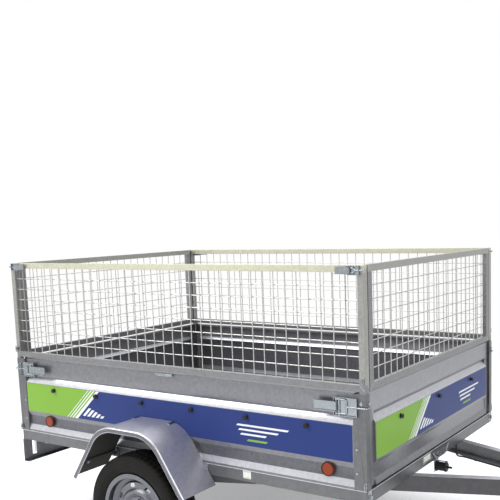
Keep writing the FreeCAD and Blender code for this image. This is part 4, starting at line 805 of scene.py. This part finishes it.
# Small steelwork, sized as the standard parts it stands for.
# Radius and height of a bolt's head, then of its washer
fasteners = {
    "m8": (0.0075, 0.0053, 0.0085, 0.0016),
    "m10": (0.0096, 0.0064, 0.0105, 0.0020),
    "m12": (0.0107, 0.0075, 0.0124, 0.0025),
}
domeAngles = (0, 25, 50, 72)
bead = {"ripple": 0.8, "taper": 4, "tip": 0.35}      # a weld bead's waves, and its thinner ends


def addHexBolt(mesh, spots, size="m8", turn=0.3):
    head, height, washer, thick = fasteners[size]
    place = aim(*spots, turn)
    addLathe(mesh, [(0, 0), (washer, 0), (washer, thick * 0.7), (washer * 0.94, thick), (0, thick)],
             place, 20)
    lifted = place @ Matrix.Translation((0, 0, thick))
    addPrism(mesh, [Vector(spot) * head for spot in circle(6)], lifted, height, 0, head * 0.1)


def addDome(mesh, spots, radius, height, sides=16, material=0):
    profile = [(radius * math.cos(math.radians(angle)), height * math.sin(math.radians(angle)))
               for angle in domeAngles]
    addLathe(mesh, [(0, 0)] + profile + [(0, height)], aim(*spots), sides, material)


def addTurned(mesh, spots, profile, sides, ends="open"):
    addLathe(mesh, profile, aim(*spots), sides, ends=ends)


def addWeld(mesh, spots, radius=0.004, step=0.004):
    start, end = spots
    count = max(3, round((end - start).length / step) * 2)
    points, radii = [], []
    for index in range(count + 1):
        share = index / count
        points.append(start.lerp(end, share))
        edge = min(1.0, bead["taper"] * min(share, 1 - share) + bead["tip"])
        radii.append(radius * (1.0 if index % 2 else bead["ripple"]) * edge)
    addTube(mesh, points, radii)


# A row says what is added, its spots or its spot and direction, and its sizes. The rows are given
# for the left and mirrored to each of the sides, and those in single stand once as they are.
def makeRows(name, rows=(), single=(), sides=(-1, 1), body="trailer", slot="zinc_fittings",
             materials=("zinc",), **rest):
    mesh = bmesh.new()
    for side, row in [(side, row) for side in sides for row in rows] + [(1, row) for row in single]:
        add, spots, *sizes = row
        add(mesh, [Vector(spot) * Vector((1, side, 1)) for spot in spots], *sizes)
    addPiece(name, mesh, body, slot, materials, **rest)


ahead, back, out, right = (1, 0, 0), (-1, 0, 0), (0, 1, 0), (0, -1, 0)
up, down = (0, 0, 1), (0, 0, -1)
seamLevels = ((0.8845, 0.910), (1.3635, 1.338))      # of the mesh frames' foot and top corners
seamSize = (0.0018, 0.003)
seam = {"slot": "galvanised_frame", "materials": ["seam"]}
meshSeam = {"slot": "galvanised_mesh", "materials": ["seam"]}
plastic = {"slot": "black_plastic", "materials": ["black"]}

# Mudguards: the run of their arch from the axle, its beaded edge, and what holds them
arch = {"wheelX": -0.5025, "railTop": 0.495, "top": 0.166, "drop": 0.092, "footHalf": 0.334,
        "cornerHalf": 0.160, "corner": 0.170, "beadInset": 0.0205, "beadY": 0.9163, "beadRadius": 0.0023}
guardBrackets = {"rounded": 0.0004, "rows": [
    *(row for x in (-0.5975, -0.4075) for row in (               # angle brackets under the crown
        (addBox, [(x - 0.020, 0.7045, 0.614), (x + 0.020, 0.707, 0.6587)]),
        (addBox, [(x - 0.020, 0.7045, 0.6562), (x + 0.020, 0.742, 0.6587)]),
        (addHexBolt, [(x, 0.707, 0.633), out]), (addHexBolt, [(x, 0.727, 0.6562), down]))),
    *(row for x in (-0.775319, -0.229681) for row in (           # a foot plate for each stay
        (addBox, [(x - 0.021, 0.7022, 0.4535), (x + 0.021, 0.7047, 0.4905)]),
        (addHexBolt, [(x, 0.7047, 0.4835), out]))),
    (addHexBolt, [(-0.795319, 0.862, 0.4625), (0.84, 0, -0.54)]),
    (addHexBolt, [(-0.209681, 0.862, 0.4625), (-0.84, 0, -0.54)]),
]}


# The run of the mudguard's arch at a given inset, from its front foot to its rear foot
def archRun(inset, steps=8):
    turn = math.atan2(arch["top"] + arch["drop"], arch["footHalf"] - arch["cornerHalf"])
    top, radius = arch["top"] - inset, arch["corner"] - inset
    middle = arch["cornerHalf"] - inset * math.tan(turn / 2) - radius * math.tan(turn / 2)
    half = [(arch["footHalf"] - math.sin(turn) * inset, -arch["drop"] - math.cos(turn) * inset)]
    for step in range(steps + 1):
        angle = turn * (1 - step / steps)
        half.append((middle + radius * math.sin(angle), top - radius + radius * math.cos(angle)))
    return half + [(-along, rise) for along, rise in reversed(half)]


def makeGuardTrim():
    run = [(arch["wheelX"] + along, arch["beadY"], arch["railTop"] + rise)
           for along, rise in archRun(arch["beadInset"])]
    for side, hand in ((-1, "Right"), (1, "Left")):
        # the bead along the arch takes the bend's painted highlight
        makeRows(f"guardBeadHighlight{hand}", [(addTube, run, arch["beadRadius"])], sides=[side],
                 slot="galvanised", materials=["bend"])
        makeRows(f"guardBrackets{hand}", sides=[side], **guardBrackets)


fixings = {
    "bodyBolts": {"rows": [
        *((addDome, [(x, 0.705, z), out], 0.0048, 0.0022)        # posts to the side panels
          for x in (0.5355, -1.4165) for z in (0.560, 0.655)),
        *((addHexBolt, [(x, y, z), heading], size) for x, heading in ((0.5796, ahead), (-1.4606, back))
          for y, z, size in ((0.686, 0.838, "m8"), (0.684, 0.469, "m10"))),
        *((addHexBolt, [(x, 0.7051, 0.838), out]) for x in (0.5625, -1.4435)),
        *((addHexBolt, [(x, 0.6855, 0.4429), down])              # panels' feet to the rails, from below
          for x in (0.42, 0.04, -0.3405, -0.92, -1.30)),
    ]},
    "floorScrews": {"single": [(addDome, [(x, y, 0.507), up], 0.0062, 0.0016, 14)
                               for x in (0.5195, 0.0795, -0.3005, -0.9005, -1.4005)
                               for y in (-0.62, -0.31, 0.0, 0.31, 0.62)]},
    "railEndPlates": {**seam, "rounded": 0.0006, "rows": [
        (addBox, [(x, 0.6654, 0.4464), (x + 0.003, 0.6986, 0.4916)]) for x in (0.5755, -1.4595)]},
    "frameWelds": {
        **seam,
        "rows": [
            *((addWeld, [(x, y, 0.4432), (x - 0.038, y + 0.0135, 0.4432)])      # arms to the members
              for x, y in ((0.5785, 0.318176), (0.0785, 0.500076), (-0.2615, 0.623768))),
            *((addWeld, [(1.082, 0.1275, z), (1.2265, 0.0745, z)])              # gussets along the arms
              for z in (0.4445, 0.3715)),
            (addWeld, [(1.0999, 0.0262, 0.4442), (1.2290, 0.0262, 0.4442)]),    # and along the nose tube
            *((addWeld, [(x, 0.6645, 0.4425), (x, 0.6805, 0.4425)])             # axle beam under the rails
              for x in (-0.4277, -0.3673)),
            (addWeld, [(0.5838, 0.052, 0.4445), (0.5838, 0.092, 0.4835)], 0.003),      # member brace
            *((addWeld, [(x, 0.7035, 0.4952), (x - 0.049, 0.7035, 0.4952)], 0.0028)    # gates' hinge lugs
              for x in (0.5755, -1.4075)),
        ],
        "single": [(addWeld, [(1.2785, -0.0265, z), (1.3305, -0.0265, z)], 0.0032)     # jack clamp
                   for z in (0.4385, 0.3775)],
    },
    # mitre and corner seams of the mesh frames, ground nearly flush
    "sidemeshSeams": {**meshSeam, "rows": [
        (addWeld, [(near, 0.7022, low), (far, 0.7022, high)], *seamSize)
        for near, far in ((-1.457, -1.4335), (0.576, 0.5525)) for low, high in seamLevels]},
    "frontmeshgateSeams": {**meshSeam, "body": "front_mesh_gate", "rows": [
        (addWeld, [(x, 0.6625, low), (x, 0.630, high)], *seamSize)
        for x in (0.5583, 0.5767) for low, high in seamLevels]},
    "rearmeshgateSeams": {**meshSeam, "body": "rear_mesh_gate", "rows": [
        (addWeld, [(x, 0.6625, low), (x, 0.630, high)], *seamSize)
        for x in (-1.4577, -1.4393) for low, high in seamLevels]},
    "drawbarBolts": {
        "rows": [
            *((addHexBolt, [(x, 0.0311, 0.412), out], "m12") for x in (1.345, 1.385)),     # coupling
            *((addHexBolt, [(x, y, z), heading], "m12")          # gussets: nuts above, heads below
              for x, y in ((1.105, 0.096905), (1.205, 0.060525))
              for z, heading in ((0.4491, up), (0.3669, down))),
            (addHexBolt, [(0.5836, 0.040, 0.466), ahead], "m10"),
            (addDome, [(1.4445, 0.0171, 0.458), out], 0.0065, 0.003),
        ],
        "single": [(addDome, [(0.5826, y, z), ahead], 0.0035, 0.002, 12)        # parking socket's screws
                   for y, z in ((-0.068, 0.4005), (-0.026, 0.4255))],
    },
    "jackAxleNuts": {"body": "jack_caster", "single": [
        (addHexBolt, [(1.2625, y, 0.100), heading], "m12", 0.2)
        for y, heading in ((-0.0939, right), (-0.0221, out))]},
    # ribs round the crank's grip
    "crankGrip": {**plastic, "sharp": 50, "single": [(addTurned, [(1.1945, -0.058, 0.714), up], [
        (0.0131, 0.0),
        *((radius, 0.004 + ring * 0.0064 + rise) for ring in range(12)
          for radius, rise in ((0.0131, 0), (0.0141, 0.0012), (0.0141, 0.0034), (0.0131, 0.0046))),
        (0.0131, 0.0835)], 24)]},
    # grip ribs round the parking socket's lid, and its two hinge arms
    "socketRibs": {**plastic, "single": [
        *((addTube, [(x, -0.047 + across * 0.0214, 0.413005 + rise * 0.0214) for x in (0.6265, 0.633)],
           0.0014, 6) for across, rise in circle(12)),
        *((addTube, [(0.588, y, 0.434005), (0.618, y, 0.434005), (0.631, y, 0.435005)], 0.0022)
          for y in (-0.059, -0.035)),
    ]},
    # the tag's black edging and its two rivets
    "tagEdging": {"slot": "tag_plate", "materials": ["black", "zinc"], "single": [
        *((addBox, [(0.581, y0, z0), (0.5813, y1, z1)]) for y0, y1, z0, z1 in (
            (-0.187, -0.107, 0.460, 0.463), (-0.187, -0.107, 0.489, 0.492),
            (-0.187, -0.184, 0.463, 0.489), (-0.110, -0.107, 0.463, 0.489))),
        *((addDome, [(0.581, y, 0.476), ahead], 0.003, 0.0012, 12, 1) for y in (-0.178, -0.116)),
    ]},
    # thin black rings round the reflectors: painted shade for the shadow line at their edge
    "reflectorShadowRings": {**plastic, "rows": [
        (addTurned, [(x, 0.7038, 0.561), out], [(0.0257, 0.0), (0.0291, 0.0), (0.0291, 0.0026),
                                                (0.0277, 0.0031), (0.0257, 0.0031)], 48, "joined")
        for x in (-1.24142, 0.40342)]},
    # a bright clamp on the near side's top edge
    "edgeClamp": {"rounded": 0.0004, "single": [
        (addBox, [(-0.493, -0.7062, 0.862), (-0.392, -0.7040, 0.8745)]),
        *((addDome, [(x, -0.7062, 0.86825), right], 0.0034, 0.0014, 12) for x in (-0.4728, -0.4122)),
    ]},
    # painted highlight: a bright bead along the seam between the body and its rails
    "seamHighlightBeads": {
        "slot": "galvanised_frame", "materials": ["bend"],
        "rows": [(addTube, [(x, 0.7022, 0.4938) for x in (-1.4565, 0.2, 0.5755)], 0.0017)],
        "single": [(addTube, [(x, y, 0.4938) for y in (-0.698, 0.0, 0.698)], 0.0015)
                   for x in (0.5797, -1.4607)],
    },
}

# Hairpin clips in the ends of the hinge pins: the wire's path along and up from the pin
pinClip = {
    "wire": 0.0013,
    "out": 0.7126,
    "path": ((0.0, -0.017), (0.0, 0.010), (0.0010, 0.0140), (0.0040, 0.0160), (0.0070, 0.0140),
             (0.0080, 0.0105), (0.0066, 0.0060), (0.0070, 0.0020), (0.0078, -0.0030), (0.0060, -0.0085),
             (0.0050, -0.0120), (0.0080, -0.0170)),
    "pins": {"front_gate": (0.5715, 0.515, 1), "rear_gate": (-1.4525, 0.515, -1),
             "front_mesh_gate": (0.5675, 0.925, 1), "rear_mesh_gate": (-1.4485, 0.925, -1)},
}
# Rubber valve through the rim's well, with its cap
valve = {
    "depth": 0.040,
    "reach": 0.1475,
    "angle": 0.5,                 # round the wheel, in radians from the top
    "heading": (0.9, -0.32),      # outwards and away from the axle
    "profile": ((0, 0), (0.0062, 0), (0.0062, 0.004), (0.0040, 0.009), (0.0037, 0.024),
                (0.0044, 0.0245), (0.0044, 0.0335), (0.0036, 0.0345), (0, 0.0345)),
}


def makeFixings():
    for name, piece in fixings.items():
        makeRows(name, **piece)
    for bodyName, (x, z, forward) in pinClip["pins"].items():
        path = [(x + forward * along, pinClip["out"], z + rise) for along, rise in pinClip["path"]]
        makeRows("pinClips" + "".join(part.capitalize() for part in bodyName.split("_")),
                 [(addTube, path, pinClip["wire"], 6)], body=bodyName)
    low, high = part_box("rim_left")
    away = Vector((math.sin(valve["angle"]), 0, math.cos(valve["angle"])))
    seat = Vector(((low.x + high.x) / 2, high.y - valve["depth"], (low.z + high.z) / 2))
    heading = Vector(out) * valve["heading"][0] + away * valve["heading"][1]
    for side, hand in ((-1, "right"), (1, "left")):
        row = (addTurned, [seat + away * valve["reach"], heading], valve["profile"], 14)
        makeRows(f"valve{hand.capitalize()}", [row], sides=[side], body=f"wheel_{hand}", **plastic)
    print("fixings and seams:", len(fixings))


# Tail lamps: a moulded lens with a clear end, an amber and a red field, fine ribs and a
# triangular reflector
tailLamp = {
    "width": 0.188,
    "height": 0.088,
    "depth": 0.0290,
    "corner": 0.008,
    "chamfer": 0.0015,
    "clearWidth": 0.016,
    "amberWidth": 0.052,
    "ribs": {"count": 13, "half": 0.0014, "depth": 0.0007, "margin": 0.003, "endMargin": 0.006},
    "sunk": 0.0001,
    "triangle": {"foot": -0.024, "top": 0.0285, "half": 0.030, "inset": 0.040, "depth": 0.0010},
    "screw": {"inset": 0.014, "rise": 0.012, "proud": 0.0002, "radius": 0.0036, "height": 0.0008},
}


def makeTailLamps():
    low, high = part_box("tail_lamp_lenses")
    mesh, screws = bmesh.new(), bmesh.new()
    half, tall, depth = tailLamp["width"] / 2, tailLamp["height"] / 2, tailLamp["depth"]
    ribs, triangle, screw = tailLamp["ribs"], tailLamp["triangle"], tailLamp["screw"]
    outline = roundedOutline(tailLamp["width"], tailLamp["height"], tailLamp["corner"])
    # the fields run from the outer end inwards
    clearEnd = half - tailLamp["clearWidth"]
    cuts = (half, clearEnd, clearEnd - tailLamp["amberWidth"], -half)
    turned = Matrix(((0, 0, -1, 0), (-1, 0, 0, 0), (0, 1, 0, 0), (0, 0, 0, 1)))
    for side in (-1, 1):
        centre = Vector((high.x, side * (high.y - half), (low.z + high.z) / 2))
        place = Matrix.Translation(centre) @ turned          # across the lens, up, and out to the rear
        face = place @ Matrix.Translation((0, 0, depth - tailLamp["sunk"]))
        for material, end, start in zip((3, 1, 0), cuts, cuts[1:]):
            field = [(-side * min(max(-side * spot.x, start), end), spot.y) for spot in outline]
            field = list(dict.fromkeys((round(x, 6), round(y, 6)) for x, y in field))
            addPrism(mesh, field, place, depth, material, tailLamp["chamfer"])
            left, right = sorted((-side * (start + ribs["margin"]), -side * (end - ribs["margin"])))
            for index in range(ribs["count"]):
                spot = ((index + 0.5) / ribs["count"] * 2 - 1) * (tall - ribs["endMargin"])
                foot, top = spot - ribs["half"], spot + ribs["half"]
                addPrism(mesh, [(left, foot), (right, foot), (right, top), (left, top)], face,
                         ribs["depth"], material)
        middle = side * (half - triangle["inset"])
        corners = [(middle - triangle["half"], triangle["foot"]),
                   (middle + triangle["half"], triangle["foot"]), (middle, triangle["top"])]
        addPrism(mesh, corners, face, triangle["depth"], 2)
        for offset in (-1, 1):
            spot = Vector((-depth - screw["proud"], offset * (half - screw["inset"]), screw["rise"] - tall))
            addDome(screws, [centre + spot, back], screw["radius"], screw["height"], 12)
    addPiece("tailLampLenses", mesh, "trailer", "red_lens", ["red", "orange", "amber", "clear"],
             ["tail_lamp_lenses"], sharp=30)
    addPiece("tailLampScrews", screws, "trailer", "zinc_fittings", ["zinc"])


# A blank white sticker on the near rail, with a faint printed line along its top and foot
sticker = {"place": (0.002, -0.70195, 0.4745), "size": (0.041, 0.034), "corner": 0.003, "depth": 0.0003,
           "lineHalf": 0.0164, "lineLevels": (-0.0136, 0.0124), "lineHeight": 0.0012, "lineDepth": 0.0005}


def makeSticker():
    mesh = bmesh.new()
    turned = Matrix(((1, 0, 0, 0), (0, 0, -1, 0), (0, 1, 0, 0), (0, 0, 0, 1)))
    place = Matrix.Translation(sticker["place"]) @ turned
    addPrism(mesh, roundedOutline(*sticker["size"], sticker["corner"]), place, sticker["depth"])
    reach = sticker["lineHalf"]
    for foot in sticker["lineLevels"]:
        top = foot + sticker["lineHeight"]
        addPrism(mesh, [(-reach, foot), (reach, foot), (reach, top), (-reach, top)], place,
                 sticker["lineDepth"], 1)
    addPiece("railSticker", mesh, "trailer", "tag_plate", ["label", "lip"])


makeCamera()
finishes = makeMaterials()
finishNodes()
finishFaces()
softenEdges()
print("frame's nodes finished")
makeSky()
makeFloor()
makeLamps()
makeFilms()
for side in ("right", "left"):
    makeTyre(side)
print("tyres made")
makeGuardTrim()
makeFixings()
makeTailLamps()
makeSticker()
print("lamps and sticker made")
